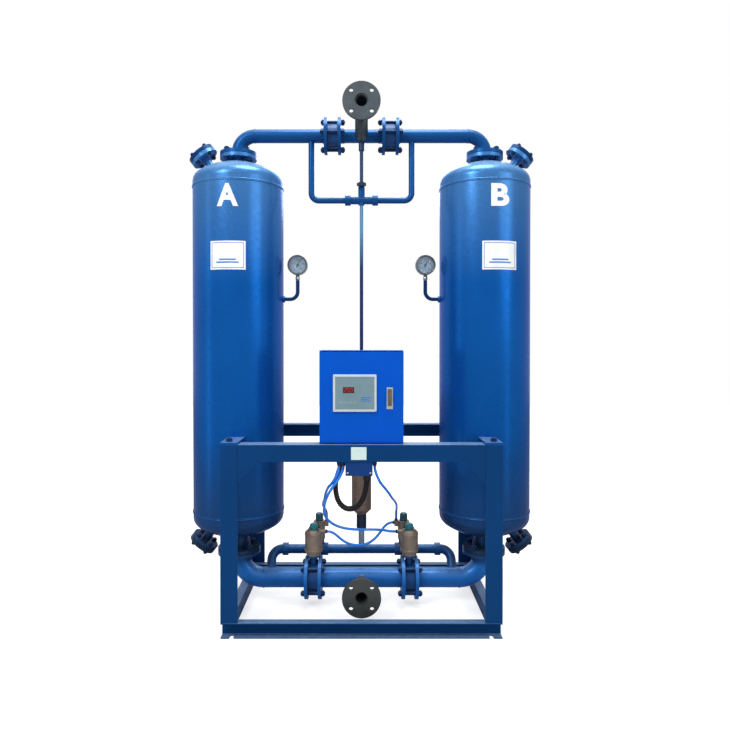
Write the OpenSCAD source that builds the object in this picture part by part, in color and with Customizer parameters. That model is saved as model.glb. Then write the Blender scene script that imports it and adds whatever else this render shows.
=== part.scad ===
// Heatless twin-tower desiccant air dryer on an open steel skid.
// Millimetres, Z up, X to the right seen from the front, front faces -Y.
// Origin on the floor at the centre of the skid.

/* [Skid] */
// Width over the base channels
frame_w = 1136; // [1040:2:1240]
// Depth over the base channels
frame_d = 710; // [640:2:800]
// Height of the base channel section
channel_h = 63; // [50:1:80]
// Width of the channel flanges
channel_flange = 40; // [30:1:50]
// Wall of the channel section
channel_wall = 6; // [4:0.5:8]
// Leg of the angle bars
angle_leg = 70; // [60:1:80]
// Wall of the angle bars
angle_wall = 6; // [4:0.5:8]
// Height of the top of the beams
beam_top = 782; // [740:2:840]
// Width of the corner gussets
gusset_w = 84; // [60:1:110]
// Height of the corner gussets
gusset_h = 92; // [60:1:120]
// Width of the open anchor notches
notch_w = 16; // [12:1:20]
// Depth of the anchor notches
notch_d = 26; // [16:1:28]
// Distance of the notches from the rail ends
notch_in = 44; // [30:1:70]

/* [Towers] */
// Outside diameter of a tower
tower_od = 406; // [380:2:420]
// Wall of shell and heads
tower_wall = 8; // [5:0.5:10]
// Distance between the tower axes
tower_pitch = 1120; // [1080:2:1160]
// Height of the lower head's rim
shell_bottom = 410; // [400:2:430]
// Height of the upper head's rim
shell_top = 1913; // [1850:1:1980]
// Depth of a dished head
head_depth = 95; // [85:1:105]
// Knuckle radius of a dished head
knuckle_r = 50; // [40:1:60]
// Radius of the weld beads
bead_r = 3; // [2:0.5:4]
// Straight rim of a head, up to its weld bead
head_rim = 23; // [15:1:35]
// Thickness of the support lugs
lug_t = 8; // [6:1:12]
// Depth of the rib under a lug
lug_rib_h = 90; // [60:1:120]
// Diameter of the lug bolts
lug_bolt_d = 16; // [12:1:17]
// Thickness of the plates on the post tops
cap_plate_t = 8; // [6:1:12]

/* [Desiccant] */
// Gap around bed and screens
bed_gap = 0.3; // [0.1:0.1:0.8]
// Thickness of a screen
screen_t = 6; // [4:1:10]
// Depth of empty shell over the bed
bed_space = 60; // [30:5:120]

/* [Fill and drain ports] */
// Angle of a port from the vertical
port_tilt = 38; // [32:1:42]
// Distance of the port joint from the tower axis
port_out = 160; // [150:1:172]
// Height of the port joint over the head rim
port_rise = 127; // [118:1:138]
// Diameter of the port flanges
port_flange_d = 126; // [108:1:130]
// Thickness of the port flanges
port_flange_t = 16; // [12:1:18]
// Bolt circle of the port flanges
port_pcd = 95; // [82:1:98]
// Diameter of the port studs
port_bolt_d = 12; // [10:1:14]
// Outside diameter of the port necks
port_neck_d = 34; // [28:1:42]
// Wall of the port necks
port_neck_wall = 4; // [3:0.5:5]

/* [Outlet header] */
// Outside diameter of the outlet pipes
pipe_d = 60.3; // [58.5:0.1:62]
// Wall of the outlet pipes
pipe_wall = 3.9; // [3:0.1:4.5]
// Bend radius of the outlet pipes
pipe_bend = 76; // [72:1:84]
// Diameter of the outlet flanges
flange_d = 165; // [160:1:172]
// Thickness of the outlet flanges
flange_t = 15; // [13:0.5:17]
// Bolt circle of the outlet flanges
flange_pcd = 125; // [122:1:128]
// Diameter of the flange bolt holes
flange_hole_d = 18; // [17:0.5:19]
// Set-back of the pipe ends from the flange faces
pipe_set = 6; // [4:0.5:9]
// Gap around the pipe ends in the flanges
pipe_gap = 1; // [0.5:0.1:1.5]
// Diameter of the flange studs
stud_d = 16; // [14:1:17]
// Thickness of the gaskets
gasket_t = 2; // [1:0.5:3]
// Height of the top nozzle neck
top_neck = 15; // [13:1:20]
// Distance of the check valves from the centre
check_x = 130; // [124:1:138]
// Length of a check valve body
check_len = 43; // [40:1:46]
// Diameter of a check valve body
check_d = 106; // [100:1:107]
// Diameter of the flap chamber
chamber_d = 60; // [58:1:62]
// Diameter of the valve seat opening
seat_d = 42; // [38:1:44]
// Thickness of the valve seat
seat_t = 8; // [6:0.5:9]
// Diameter of the flap
flap_d = 50; // [48:0.5:51]
// Thickness of the flap
flap_t = 5; // [4:0.5:6]
// Diameter of the flap trunnion
trunnion_d = 6; // [5:0.5:7]
// Running clearance of pins and spindles, on the radius
run_gap = 0.05; // [0.02:0.01:0.09]
// Free gap between moving and fixed faces
free_gap = 0.3; // [0.2:0.05:0.5]

/* [Outlet neck] */
// Outside diameter of the neck pipe
neck_d = 57; // [54:0.5:58]
// Wall of the neck pipe
neck_wall = 4; // [3:0.5:5]
// Bend radius of the neck
neck_bend = 50; // [44:1:58]
// Distance from the header axis to the first bend
neck_out = 40; // [36:1:46]
// Straight stub behind the outlet flange
neck_stub = 12; // [8:1:20]

/* [Purge loop] */
// Distance of the purge legs from the centre
purge_x = 228; // [216:1:240]
// Drop of the purge loop under the header
purge_drop = 292; // [270:1:310]
// Outside diameter of the purge pipes
purge_d = 26.9; // [24:0.1:30]
// Wall of the purge pipes
purge_wall = 2.6; // [2:0.1:3.5]
// Bend radius of the purge pipes
purge_bend = 34; // [28:1:42]
// Distance of the unions from the centre
union_x = 62; // [54:1:74]
// Length of a union
union_len = 26; // [20:1:32]
// Diameter of a union
union_d = 46; // [40:1:52]
// Diameter of the cross body
cross_d = 34; // [30:1:38]
// Height of the purge valve over the loop
purge_valve_h = 82; // [76:1:92]
// Height of the handle axis over the loop
handle_rise = 66; // [60:1:70]
// Length of the T handle
handle_len = 42; // [34:1:50]
// Thickness of the T handle
handle_t = 12; // [10:1:14]
// Diameter of the handle stem
stem_d = 10; // [8:0.5:12]
// Outside diameter of the feed and pilot pipes
pilot_d = 16; // [13:0.5:17]
// Wall of the feed and pilot pipes
pilot_wall = 2; // [1.5:0.1:2.5]
// Bend radius of the pilot pipe
pilot_bend = 40; // [32:1:50]
// Diameter of the feed nipple
nipple_d = 26; // [22:1:30]
// Length of the feed nipple
nipple_len = 36; // [28:1:44]

/* [Gauges] */
// Height of the gauge tapping
tapping_z = 1390; // [1300:5:1480]
// Diameter of the tapping boss
boss_d = 30; // [26:1:36]
// Length of the tapping boss
boss_len = 8; // [5:1:12]
// Outside diameter of the gauge pipe
gauge_pipe_d = 17.2; // [14:0.1:20]
// Bend radius of the gauge pipe
gauge_bend = 34; // [28:1:42]
// Distance of the gauge from the tower side
gauge_out = 66; // [62:1:78]
// Height of the gauge centre over its tapping
gauge_rise = 155; // [140:1:175]
// Diameter of the gauge case
gauge_d = 90; // [82:1:94]
// Depth of the gauge case
gauge_depth = 36; // [30:1:44]
// Wall of the gauge case
gauge_wall = 4; // [3:0.5:5]
// Length of the gauge stem
gauge_stem_len = 26; // [20:1:34]
// Width of the gauge stem
gauge_stem_w = 16; // [14:1:20]
// Thickness of the dial
dial_t = 1.5; // [1:0.1:2]
// Thickness of the lens
lens_t = 2.5; // [2:0.1:3]
// Diameter of the pointer spindle
spindle_d = 4; // [3:0.5:5]
// Length of the pointer
pointer_len = 32; // [26:1:35]

/* [Control box] */
// Width of the box
box_w = 340; // [320:2:380]
// Height of the box
box_h = 378; // [350:2:410]
// Depth of the enclosure without its door
box_depth = 160; // [130:2:180]
// Sheet thickness
sheet_t = 2; // [1.5:0.1:3]
// Thickness of the door
door_t = 17; // [15:1:20]
// Set-back of the door front from the skid front
door_back = 20; // [16:1:30]
// Gap between door and enclosure
door_gap = 3; // [2.5:0.1:4]
// Diameter of the hinge barrel
barrel_d = 12; // [10:1:13]
// Diameter of the hinge pins
hinge_pin_d = 6; // [5:0.5:7]
// Length of the hinge pins
hinge_pin_len = 14; // [10:1:20]
// Thickness of the hinge ears
ear_t = 4; // [3:0.5:6]
// Width of the controller bezel
panel_w = 175; // [160:1:190]
// Height of the controller bezel
panel_h = 149; // [135:1:165]
// Thickness of the controller bezel
panel_t = 6; // [4:0.5:9]
// Depth of the controller behind the door sheet
panel_depth = 52; // [40:1:70]
// Margin of the bezel over the door cutout
panel_lap = 8; // [5:0.5:12]
// Sideways place of the controller
panel_x = -27; // [-40:1:-15]
// Height of the controller over the box floor
panel_z = 206; // [180:1:225]
// Width of the latch
latch_w = 25; // [22:1:30]
// Height of the latch
latch_h = 87; // [78:1:96]
// Thickness of the latch plate
latch_t = 3; // [2.5:0.5:5]
// Sideways place of the latch
latch_x = 114; // [108:1:130]
// Height of the latch over the box floor
latch_z = 185; // [165:1:205]
// Width of the latch lever
lever_w = 17; // [14:1:19]
// Thickness of the latch lever
lever_t = 8; // [7:0.5:10]
// Diameter of the lever pin
lever_pin_d = 5; // [4:0.5:6]

/* [Pilot valve box] */
// Width of the pilot valve box
pilot_box_w = 110; // [100:1:120]
// Depth of the pilot valve box
pilot_box_d = 60; // [50:1:70]
// Part of the box seen under the beam
pilot_box_drop = 57; // [45:1:70]
// Part of the box behind the beam
pilot_box_up = 50; // [40:1:58]
// Sideways place of the box
pilot_box_x = -10; // [-16:1:-4]
// Side of the outlet blocks
outlet_w = 18; // [16:1:22]
// Length of the left outlet block
outlet_len = 36; // [32:1:44]

/* [Inlet header] */
// Outside diameter of the inlet pipes
inlet_d = 88.9; // [86:0.1:91]
// Wall of the inlet pipes
inlet_wall = 4; // [3:0.1:4.5]
// Bend radius of the inlet pipes
inlet_bend = 114; // [104:1:116]
// Diameter of the inlet header flanges
inlet_flange_d = 190; // [184:1:196]
// Bolt circle of the inlet header flanges
inlet_pcd = 152; // [150:1:156]
// Length of the bottom nozzle neck
bottom_neck = 52; // [46:1:58]
// Distance of the inlet valves from the centre
valve_x = 219; // [210:1:228]
// Length of an inlet valve body
valve_len = 42; // [40:1:46]
// Diameter of an inlet valve body
valve_d = 130; // [124:1:134]
// Diameter of the valve neck
valve_neck_d = 38; // [34:1:39]
// Height of the actuator foot over the pipe axis
valve_neck_h = 105; // [100:1:112]
// Thickness of the butterfly disc
disc_t = 7; // [5:0.5:9]
// Gap around the butterfly disc
disc_gap = 0.8; // [0.5:0.1:1.2]
// Diameter of the valve spindle
valve_stem_d = 14; // [12:0.5:16]
// Diameter of an inlet actuator
actuator_d = 80; // [72:1:84]
// Height of an inlet actuator
actuator_h = 115; // [105:1:125]
// Diameter of the indicator caps
cap_d = 36; // [30:1:42]
// Height of the indicator caps
cap_h = 27; // [22:1:32]
// Length of the pilot nipples
port_len = 14; // [10:1:18]
// Outside diameter of the pilot tubes
tube_d = 12; // [8:0.5:14]
// Distance of the inlet flange from the header axis
inlet_reach = 245; // [215:1:260]
// Distance of the stub weld from the header axis
inlet_weld = 60; // [54:1:80]

/* [Exhaust line] */
// Distance of the exhaust line behind the inlet header
exhaust_y = 80; // [78:1:88]
// Height of the exhaust line over the inlet header
exhaust_rise = 104; // [100:1:112]
// Outside diameter of the exhaust pipes
exhaust_d = 42.4; // [38:0.1:45]
// Wall of the exhaust pipes
exhaust_wall = 3.2; // [2.6:0.1:4]
// Bend radius of the exhaust pipes
exhaust_bend = 48; // [40:1:52]
// Distance of the exhaust legs from the centre
leg_x = 418; // [404:1:422]
// Distance of the exhaust valves from the centre
piston_x = 198; // [190:1:206]
// Length of an exhaust valve body
piston_body_len = 84; // [76:1:92]
// Diameter of an exhaust valve body
piston_body_d = 58; // [52:1:62]
// Diameter of the exhaust plunger
plunger_d = 32; // [30:0.5:34]
// Diameter of the plunger stem
plunger_stem_d = 10; // [8:0.5:12]
// Lift of the plunger
plunger_lift = 30; // [24:1:32]
// Diameter of the exhaust actuators
piston_act_d = 54; // [50:1:58]
// Height of the exhaust actuators
piston_act_h = 84; // [80:1:96]
// Height of the exhaust caps
piston_cap_h = 36; // [28:1:42]
// Diameter of the collars on the exhaust legs
collar_d = 58; // [52:1:64]
// Length of the collars on the exhaust legs
collar_len = 26; // [20:1:32]

/* [Muffler] */
// Diameter of the muffler
muffler_d = 92; // [80:1:100]
// Length of the muffler body
muffler_len = 200; // [160:2:240]
// Wall of the muffler
muffler_wall = 3; // [2:0.5:4]
// Diameter of the muffler nipple
riser_d = 28; // [24:0.5:32]
// Length of the muffler nipple
riser_len = 80; // [66:1:94]
// Diameter of the muffler coupling
coupling_d = 47; // [42:1:52]
// Length of the muffler coupling
coupling_len = 62; // [50:1:72]
// Length of the muffler cone
cone_len = 26; // [20:1:34]

/* [Conduit] */
// Outside diameter of the conduit
conduit_d = 24; // [20:1:26]

/* [Hidden] */
$fn = 64;
tower_x = tower_pitch / 2;
tower_r = tower_od / 2;
bed_r = tower_r - tower_wall - bed_gap;
apex_top = shell_top + head_depth;
apex_bottom = shell_bottom - head_depth;
pair_t = 2 * flange_t + gasket_t;
top_joint = apex_top + top_neck;
outlet_z = top_joint + pair_t + pipe_bend;
bottom_joint = apex_bottom - bottom_neck;
inlet_z = bottom_joint - pair_t - inlet_bend;
pipe_r = pipe_d / 2;
bore_r = pipe_r - pipe_wall;
inlet_r = inlet_d / 2;
inlet_bore_r = inlet_r - inlet_wall;
neck_r = neck_d / 2;
neck_bore_r = neck_r - neck_wall;
front_y = -frame_d / 2;
post_x = frame_w / 2 - angle_leg / 2;
post_in = frame_w / 2 - angle_leg;
beam_bottom = beam_top - angle_leg;
lug_bolt_x = post_x + 5;
lug_bolt_y = front_y + angle_leg / 2;

// Outlet header stations
check_in = check_x - check_len / 2;
check_out = check_x + check_len / 2;
neck_face = neck_out + 2 * neck_bend;
outlet_face = neck_face + neck_stub + flange_t;
outlet_port_z = outlet_z + 2 * neck_bend;
trunnion_r = trunnion_d / 2;
flap_axis = seat_t + 2 * free_gap + trunnion_r;

// Purge loop stations
purge_z = outlet_z - purge_drop;
purge_r = purge_d / 2;
purge_bore_r = purge_r - purge_wall;
union_in = union_x - union_len / 2;
union_out = union_x + union_len / 2;
pilot_r = pilot_d / 2;
pilot_bore_r = pilot_r - pilot_wall;
handle_z = purge_z + handle_rise;
handle_y = -cross_d / 2 - 8;

// Gauge stations
gauge_x = tower_x - tower_r - gauge_out;
gauge_z = tapping_z + gauge_rise;
gauge_r = gauge_d / 2;
gauge_pipe_r = gauge_pipe_d / 2;
stem_foot = gauge_z - gauge_r - gauge_stem_len;
dial_y = gauge_depth / 2 - gauge_wall - dial_t - 8;
lens_y = -gauge_depth / 2 + 2;
pointer_y = dial_y - 4;

// Control box stations
door_front = front_y + door_back;
door_rear = door_front + door_t;
rim_y = door_rear + door_gap;
box_rear = rim_y + box_depth;
barrel_r = barrel_d / 2;
hinge_x = -box_w / 2 + barrel_r;
hinge_y = door_rear - barrel_r;
door_low = beam_top + ear_t + 1;
door_high = beam_top + box_h - ear_t - 1;
lever_h = latch_h - 22;
lever_axis_z = beam_top + latch_z - lever_h / 2 + 5;
lever_axis_y = door_front - latch_t - lever_pin_d / 2 - 0.5;

// Pilot valve box stations
pilot_low = beam_bottom - pilot_box_drop;
pilot_high = beam_bottom + pilot_box_up;
pilot_y = front_y + angle_wall;
pilot_mid_y = pilot_y + pilot_box_d / 2;
pilot_left = pilot_box_x - pilot_box_w / 2;
pilot_right = pilot_box_x + pilot_box_w / 2;
outlet_low = beam_bottom - 12;
outlet_a_x = pilot_left - outlet_len + 9;
outlet_b_x = pilot_left - 9;
outlet_c_x = pilot_right + outlet_w / 2;
pilot_turn_z = pilot_high - 18;

// Inlet header stations
valve_in = valve_x - valve_len / 2;
valve_out = valve_x + valve_len / 2;
actuator_z = inlet_z + valve_neck_h;
cap_z = actuator_z + actuator_h + free_gap;
valve_stem_r = valve_stem_d / 2;
disc_r = inlet_bore_r - disc_gap;
port_z = actuator_z + actuator_h - 10;
port_x = valve_x - actuator_d / 2 - port_len;

// Exhaust line stations
exhaust_z = inlet_z + exhaust_rise;
exhaust_r = exhaust_d / 2;
exhaust_bore_r = exhaust_r - exhaust_wall;
leg_tilt = atan2(exhaust_y, exhaust_rise);
leg_len = norm([exhaust_y, exhaust_rise]);
leg_start = leg_x - exhaust_bend;
piston_in = piston_x - piston_body_len / 2;
piston_out = piston_x + piston_body_len / 2;
plunger_r = plunger_d / 2;
plunger_bore_r = plunger_r - 3;
bonnet_h = plunger_r + plunger_lift + 4;
piston_act_z = exhaust_z + bonnet_h;
piston_cap_z = piston_act_z + piston_act_h;
piston_r = piston_act_d / 2 - 5;
tee_w = 16;
tee_x = piston_x - piston_act_d / 2 - tee_w / 2;
tee_top = piston_cap_z;
muffler_foot = exhaust_z + exhaust_r + riser_len;

// Routes of the free tubes, ring by ring
tube_1_route = [
    [outlet_a_x, pilot_mid_y, outlet_low], [outlet_a_x, pilot_mid_y, outlet_low - 14], [-95, -316, 668],
    [-104, -306, 644], [-120, -284, 615], [-141, -240, 582], [-154, -182, 544], [-162, -125, 508],
    [-170, -78, 483], [-174, -38, 461], [-173, 7, 439], [-168, 47, 418], [-165, 66, 403],
    [-tee_x, exhaust_y - 4, tee_top + 30], [-tee_x, exhaust_y, tee_top + 10], [-tee_x, exhaust_y, tee_top]];
tube_2_route = [
    [outlet_c_x, pilot_mid_y, outlet_low], [outlet_c_x, pilot_mid_y, outlet_low - 14], [57, -316, 668],
    [65, -306, 644], [79, -284, 613], [99, -240, 580], [118, -183, 545], [134, -128, 512],
    [148, -78, 486], [157, -38, 463], [161, 7, 440], [163, 47, 418], [163, 66, 403],
    [tee_x, exhaust_y - 4, tee_top + 30], [tee_x, exhaust_y, tee_top + 10], [tee_x, exhaust_y, tee_top]];
tube_3_route = [
    [outlet_b_x, pilot_mid_y, outlet_low], [outlet_b_x, pilot_mid_y, outlet_low - 14], [-78, -317, 667],
    [-93, -310, 636], [-122, -290, 592], [-145, -255, 545], [-158, -205, 498], [-162, -150, 455],
    [-151, -108, 414], [-120, -84, 382], [-77, -70, 363], [-28, -60, 354], [22, -48, 350], [64, -32, 345],
    [100, -14, port_z + 10], [130, -4, port_z + 2], [port_x - 15, 0, port_z], [port_x, 0, port_z]];
tube_4_route = [
    [-port_x, 0, port_z], [-port_x + 11, 0, port_z], [-142, 0, 325], [-128, 0, 319], [-113, 1, 308],
    [-95, 3, 292], [-74, 7, 276], [-45, 13, 263], [-12, 20, 257], [20, 28, 260], [48, 38, 271],
    [70, 49, 287], [87, 59, 305], [101, 67, 322], [115, 74, 335], [130, 78, 343],
    [tee_x - tee_w / 2 - 11, exhaust_y, tee_top - 9], [tee_x - tee_w / 2, exhaust_y, tee_top - 9]];
conduit_route = [
    [-75, -235, beam_top], [-75, -235, 760], [-80, -237, 700], [-96, -242, 652], [-107, -250, 610],
    [-106, -259, 566], [-93, -268, 530], [-66, -279, 508], [-33, -290, 510], [-6, -300, 534],
    [12, -308, 572], [20, -314, 614], [22, pilot_mid_y, pilot_low - 12], [22, pilot_mid_y, pilot_low]];

// Plain helpers

// The right-hand side as drawn, the left-hand side mirrored
module side(s) {
    if (s < 0) mirror([1, 0, 0]) children();
    else children();
}

module both_sides() {
    children();
    mirror([1, 0, 0]) children();
}

// Turns +Z to +X
module along_x() { rotate([0, 90, 0]) children(); }

// Turns +Z to the front
module to_front() { rotate([90, 0, 0]) children(); }

// Stands a bend drawn flat upright across the front view
module in_xz() { rotate([90, 0, 0]) children(); }

// Stands a bend drawn flat upright across the side view
module in_yz() { rotate([90, 0, 90]) children(); }

module ring(r_out, r_in, h) {
    difference() {
        cylinder(r = r_out, h = h);
        translate([0, 0, -1]) cylinder(r = r_in, h = h + 2);
    }
}

module bend(radius, r_out, r_in) {
    rotate_extrude(angle = 90) translate([radius, 0]) difference() {
        circle(r = r_out);
        circle(r = r_in);
    }
}

module around(count, turn, radius) {
    for (i = [0 : count - 1])
        rotate([0, 0, turn + i * 360 / count]) translate([radius, 0, 0]) children();
}

module flange(od, r_in, t, pcd, hole_d, turn) {
    difference() {
        cylinder(d = od, h = t);
        translate([0, 0, -1]) cylinder(r = r_in, h = t + 2);
        around(4, turn, pcd / 2) translate([0, 0, -1]) cylinder(d = hole_d, h = t + 2);
    }
}

// A stud from z = 0 to its grip, with a nut at each end
module stud(d, grip) {
    nut_h = 0.8 * d;
    nut_r = 0.87 * d;
    translate([0, 0, -nut_h - 4]) cylinder(d = d, h = grip + 2 * nut_h + 8);
    translate([0, 0, -nut_h]) cylinder(r = nut_r, h = nut_h, $fn = 6);
    translate([0, 0, grip]) cylinder(r = nut_r, h = nut_h, $fn = 6);
}

// A round tube swept along its route, one ten-sided ring at each point
module swept(route, d) {
    n = len(route);
    sides = 10;
    points = [for (i = [0 : n - 1])
        let (raw = i == 0 ? route[1] - route[0] : i == n - 1 ? route[i] - route[i - 1]
                 : route[i + 1] - route[i - 1],
             t = raw / norm(raw),
             cross_side = cross(t, [0.3, 0.9, 0.3]),
             u = cross_side / norm(cross_side),
             v = cross(t, u))
        for (k = [0 : sides - 1])
            route[i] + d / 2 * (cos(k * 360 / sides) * u + sin(k * 360 / sides) * v)];
    walls = [for (i = [0 : n - 2]) for (k = [0 : sides - 1])
        let (a = i * sides + k, b = i * sides + (k + 1) % sides)
        [a, a + sides, b + sides, b]];
    first = [[for (k = [0 : sides - 1]) k]];
    last = [[for (k = [sides - 1 : -1 : 0]) (n - 1) * sides + k]];
    polyhedron(points = points, faces = concat(walls, first, last));
}

// Skid

module channel(length) {
    difference() {
        cube([length, channel_flange, channel_h]);
        translate([-1, -1, channel_wall])
            cube([length + 2, channel_flange - channel_wall + 1, channel_h - 2 * channel_wall]);
    }
}

module notch() {
    translate([0, notch_d - notch_w / 2, -1]) cylinder(d = notch_w, h = channel_wall + 2);
    translate([-notch_w / 2, -1, -1]) cube([notch_w, notch_d - notch_w / 2 + 1, channel_wall + 2]);
}

module cross_rail() {
    translate([-frame_w / 2, front_y, 0]) difference() {
        channel(frame_w);
        translate([notch_in, 0, 0]) notch();
        translate([frame_w - notch_in, 0, 0]) notch();
    }
}

module base_rails() {
    color("#1b4480") {
        cross_rail();
        mirror([0, 1, 0]) cross_rail();
    }
}

module side_rails() {
    color("#1b4480") both_sides() translate([frame_w / 2, front_y + channel_flange, 0])
        rotate([0, 0, 90]) channel(frame_d - 2 * channel_flange);
}

module angle_bar(length) {
    linear_extrude(length) polygon([
        [0, 0], [angle_leg, 0], [angle_leg, angle_wall], [angle_wall, angle_wall],
        [angle_wall, angle_leg], [0, angle_leg]]);
}

module post() {
    translate([-frame_w / 2, front_y, channel_h]) angle_bar(beam_top - cap_plate_t - channel_h);
    difference() {
        translate([-frame_w / 2, front_y, beam_top - cap_plate_t]) cube([angle_leg, angle_leg, cap_plate_t]);
        translate([-lug_bolt_x, lug_bolt_y, beam_top - cap_plate_t - 1])
            cylinder(d = lug_bolt_d + 2, h = cap_plate_t + 2);
    }
}

module posts() {
    color("#1b4480") both_sides() {
        post();
        mirror([0, 1, 0]) post();
    }
}

module beam() {
    translate([-post_in, front_y, beam_top]) rotate([0, 90, 0]) angle_bar(2 * post_in);
}

module gusset() {
    translate([-post_in, front_y + angle_wall, beam_bottom]) rotate([90, 0, 0])
        linear_extrude(angle_wall) polygon([[0, 1], [gusset_w, 1], [gusset_w, 0], [0, -gusset_h]]);
}

module braced_beam() {
    beam();
    both_sides() gusset();
}

module beams() {
    color("#1b4480") {
        braced_beam();
        mirror([0, 1, 0]) braced_beam();
    }
}

// Towers

// Half of a dished head: crown arc, tangent knuckle arc and the area under them
module head_profile(r, h, k) {
    crown = (pow(r - k, 2) + h * h - k * k) / (2 * (h - k));
    ux = (r - k) / (crown - k);
    uz = (crown - h) / (crown - k);
    jx = ux * crown;
    jz = h - crown + uz * crown;
    polygon([[0, -1], [r - k, -1], [r - k, 0], [jx, jz], [0, jz]]);
    intersection() {
        translate([0, h - crown]) circle(r = crown);
        translate([0, jz]) square([jx, h]);
    }
    intersection() {
        translate([r - k, 0]) circle(r = k);
        polygon([[r - k, 0], [r + k, 0], [r - k + 2 * k * ux, 2 * k * uz]]);
    }
}

module vessel_profile(inset) {
    r = tower_r - inset;
    h = head_depth - inset;
    k = knuckle_r - inset;
    translate([0, shell_bottom]) square([r, shell_top - shell_bottom]);
    translate([0, shell_top]) head_profile(r, h, k);
    translate([0, shell_bottom]) mirror([0, 1]) head_profile(r, h, k);
}

// Places a port joint: local +Z runs out along the port, z = 0 at the middle of its gasket
module at_fill_port() {
    translate([tower_x + port_out, 0, shell_top + port_rise]) rotate([0, port_tilt, 0]) children();
}

module at_drain_port() {
    translate([tower_x + port_out, 0, shell_bottom - port_rise]) rotate([0, 180 - port_tilt, 0]) children();
}

module port_stub() {
    translate([0, 0, -gasket_t / 2 - port_flange_t])
        flange(port_flange_d, port_neck_d / 2 - port_neck_wall, port_flange_t, port_pcd, port_bolt_d + 2, 45);
    translate([0, 0, -120]) cylinder(d = port_neck_d, h = 120 - gasket_t / 2 - port_flange_t);
}

module port_bore() {
    translate([0, 0, -140]) cylinder(d = port_neck_d - 2 * port_neck_wall, h = 160);
}

module lug() {
    rib_y = front_y + angle_leg + 2;
    translate([post_x - angle_leg / 2, front_y, beam_top]) cube([angle_leg, -front_y, lug_t]);
    translate([post_x + lug_t / 2, 0, beam_top]) rotate([90, 0, -90]) linear_extrude(lug_t)
        polygon([[-rib_y, 0], [-rib_y, -20], [tower_r, -lug_rib_h], [0, -lug_rib_h], [0, 0]]);
}

module vessel() {
    difference() {
        union() {
            translate([tower_x, 0, 0]) {
                rotate_extrude() vessel_profile(0);
                translate([0, 0, shell_top - head_rim]) rotate_extrude()
                    translate([tower_r, 0]) circle(r = bead_r);
                translate([0, 0, shell_bottom + head_rim]) rotate_extrude()
                    translate([tower_r, 0]) circle(r = bead_r);
                translate([0, 0, apex_top - 20]) cylinder(r = pipe_r, h = top_neck + 21);
                translate([0, 0, bottom_joint - 1]) cylinder(r = inlet_r, h = bottom_neck + 21);
                translate([0, 0, top_joint])
                    flange(flange_d, bore_r, flange_t, flange_pcd, flange_hole_d, 45);
                translate([0, 0, bottom_joint - flange_t])
                    flange(inlet_flange_d, inlet_bore_r, flange_t, inlet_pcd, flange_hole_d, 45);
            }
            at_fill_port() port_stub();
            at_drain_port() port_stub();
            lug();
            mirror([0, 1, 0]) lug();
            translate([tower_x - tower_r - boss_len, 0, tapping_z]) along_x()
                cylinder(d = boss_d, h = boss_len + 5);
        }
        translate([tower_x, 0, 0]) {
            rotate_extrude() vessel_profile(tower_wall);
            translate([0, 0, apex_top - 40]) cylinder(r = bore_r, h = 80);
            translate([0, 0, bottom_joint - 30]) cylinder(r = inlet_bore_r, h = bottom_neck + 60);
        }
        at_fill_port() port_bore();
        at_drain_port() port_bore();
        translate([tower_x - tower_r - boss_len - 1, 0, tapping_z]) along_x() cylinder(d = 8, h = 40);
        both_lug_holes();
    }
}

module both_lug_holes() {
    for (y = [-lug_bolt_y, lug_bolt_y])
        translate([lug_bolt_x, y, beam_top - 1]) cylinder(d = lug_bolt_d + 2, h = lug_t + 2);
}

module tower_a_vessel() { color("#2f6db5") side(-1) vessel(); }

module tower_b_vessel() { color("#2f6db5") side(1) vessel(); }

module desiccant_beds() {
    color("#e6e2d8") both_sides() translate([tower_x, 0, shell_bottom + screen_t])
        cylinder(r = bed_r, h = shell_top - bed_space - shell_bottom - 2 * screen_t);
}

module bed_screens() {
    color("#9aa0a6") both_sides() translate([tower_x, 0, 0]) {
        translate([0, 0, shell_bottom]) cylinder(r = bed_r, h = screen_t);
        translate([0, 0, shell_top - bed_space - screen_t]) cylinder(r = bed_r, h = screen_t);
    }
}

module port_cover() {
    translate([0, 0, gasket_t / 2]) difference() {
        cylinder(d = port_flange_d, h = port_flange_t);
        around(4, 45, port_pcd / 2) translate([0, 0, -1])
            cylinder(d = port_bolt_d + 2, h = port_flange_t + 2);
    }
}

module port_covers() {
    color("#2f6db5") both_sides() {
        at_fill_port() port_cover();
        at_drain_port() port_cover();
    }
}

module port_studs() {
    around(4, 45, port_pcd / 2) translate([0, 0, -gasket_t / 2 - port_flange_t])
        stud(port_bolt_d, 2 * port_flange_t + gasket_t);
}

module port_bolts() {
    color("#2a4f8c") both_sides() {
        at_fill_port() port_studs();
        at_drain_port() port_studs();
    }
}

// Joints of the headers

module at_check_face() { translate([check_out, 0, outlet_z]) rotate([0, -90, 0]) children(); }

module header_gaskets() {
    translate([tower_x, 0, top_joint + flange_t]) ring(check_d / 2, bore_r, gasket_t);
    translate([tower_x, 0, bottom_joint - flange_t - gasket_t]) ring(valve_d / 2, inlet_bore_r, gasket_t);
    at_check_face() translate([0, 0, -gasket_t]) ring(check_d / 2, bore_r, gasket_t);
    at_check_face() translate([0, 0, check_len]) ring(check_d / 2, chamber_d / 2, gasket_t);
    translate([valve_in - gasket_t, 0, inlet_z]) along_x() ring(valve_d / 2, inlet_bore_r, gasket_t);
    translate([valve_out, 0, inlet_z]) along_x() ring(valve_d / 2, inlet_bore_r, gasket_t);
}

module port_gasket() {
    translate([0, 0, -gasket_t / 2])
        ring(port_pcd / 2 - port_bolt_d / 2 - 2, port_neck_d / 2 - port_neck_wall, gasket_t);
}

module gaskets() {
    color("#3a3a3a") both_sides() {
        header_gaskets();
        at_fill_port() port_gasket();
        at_drain_port() port_gasket();
    }
}

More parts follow.
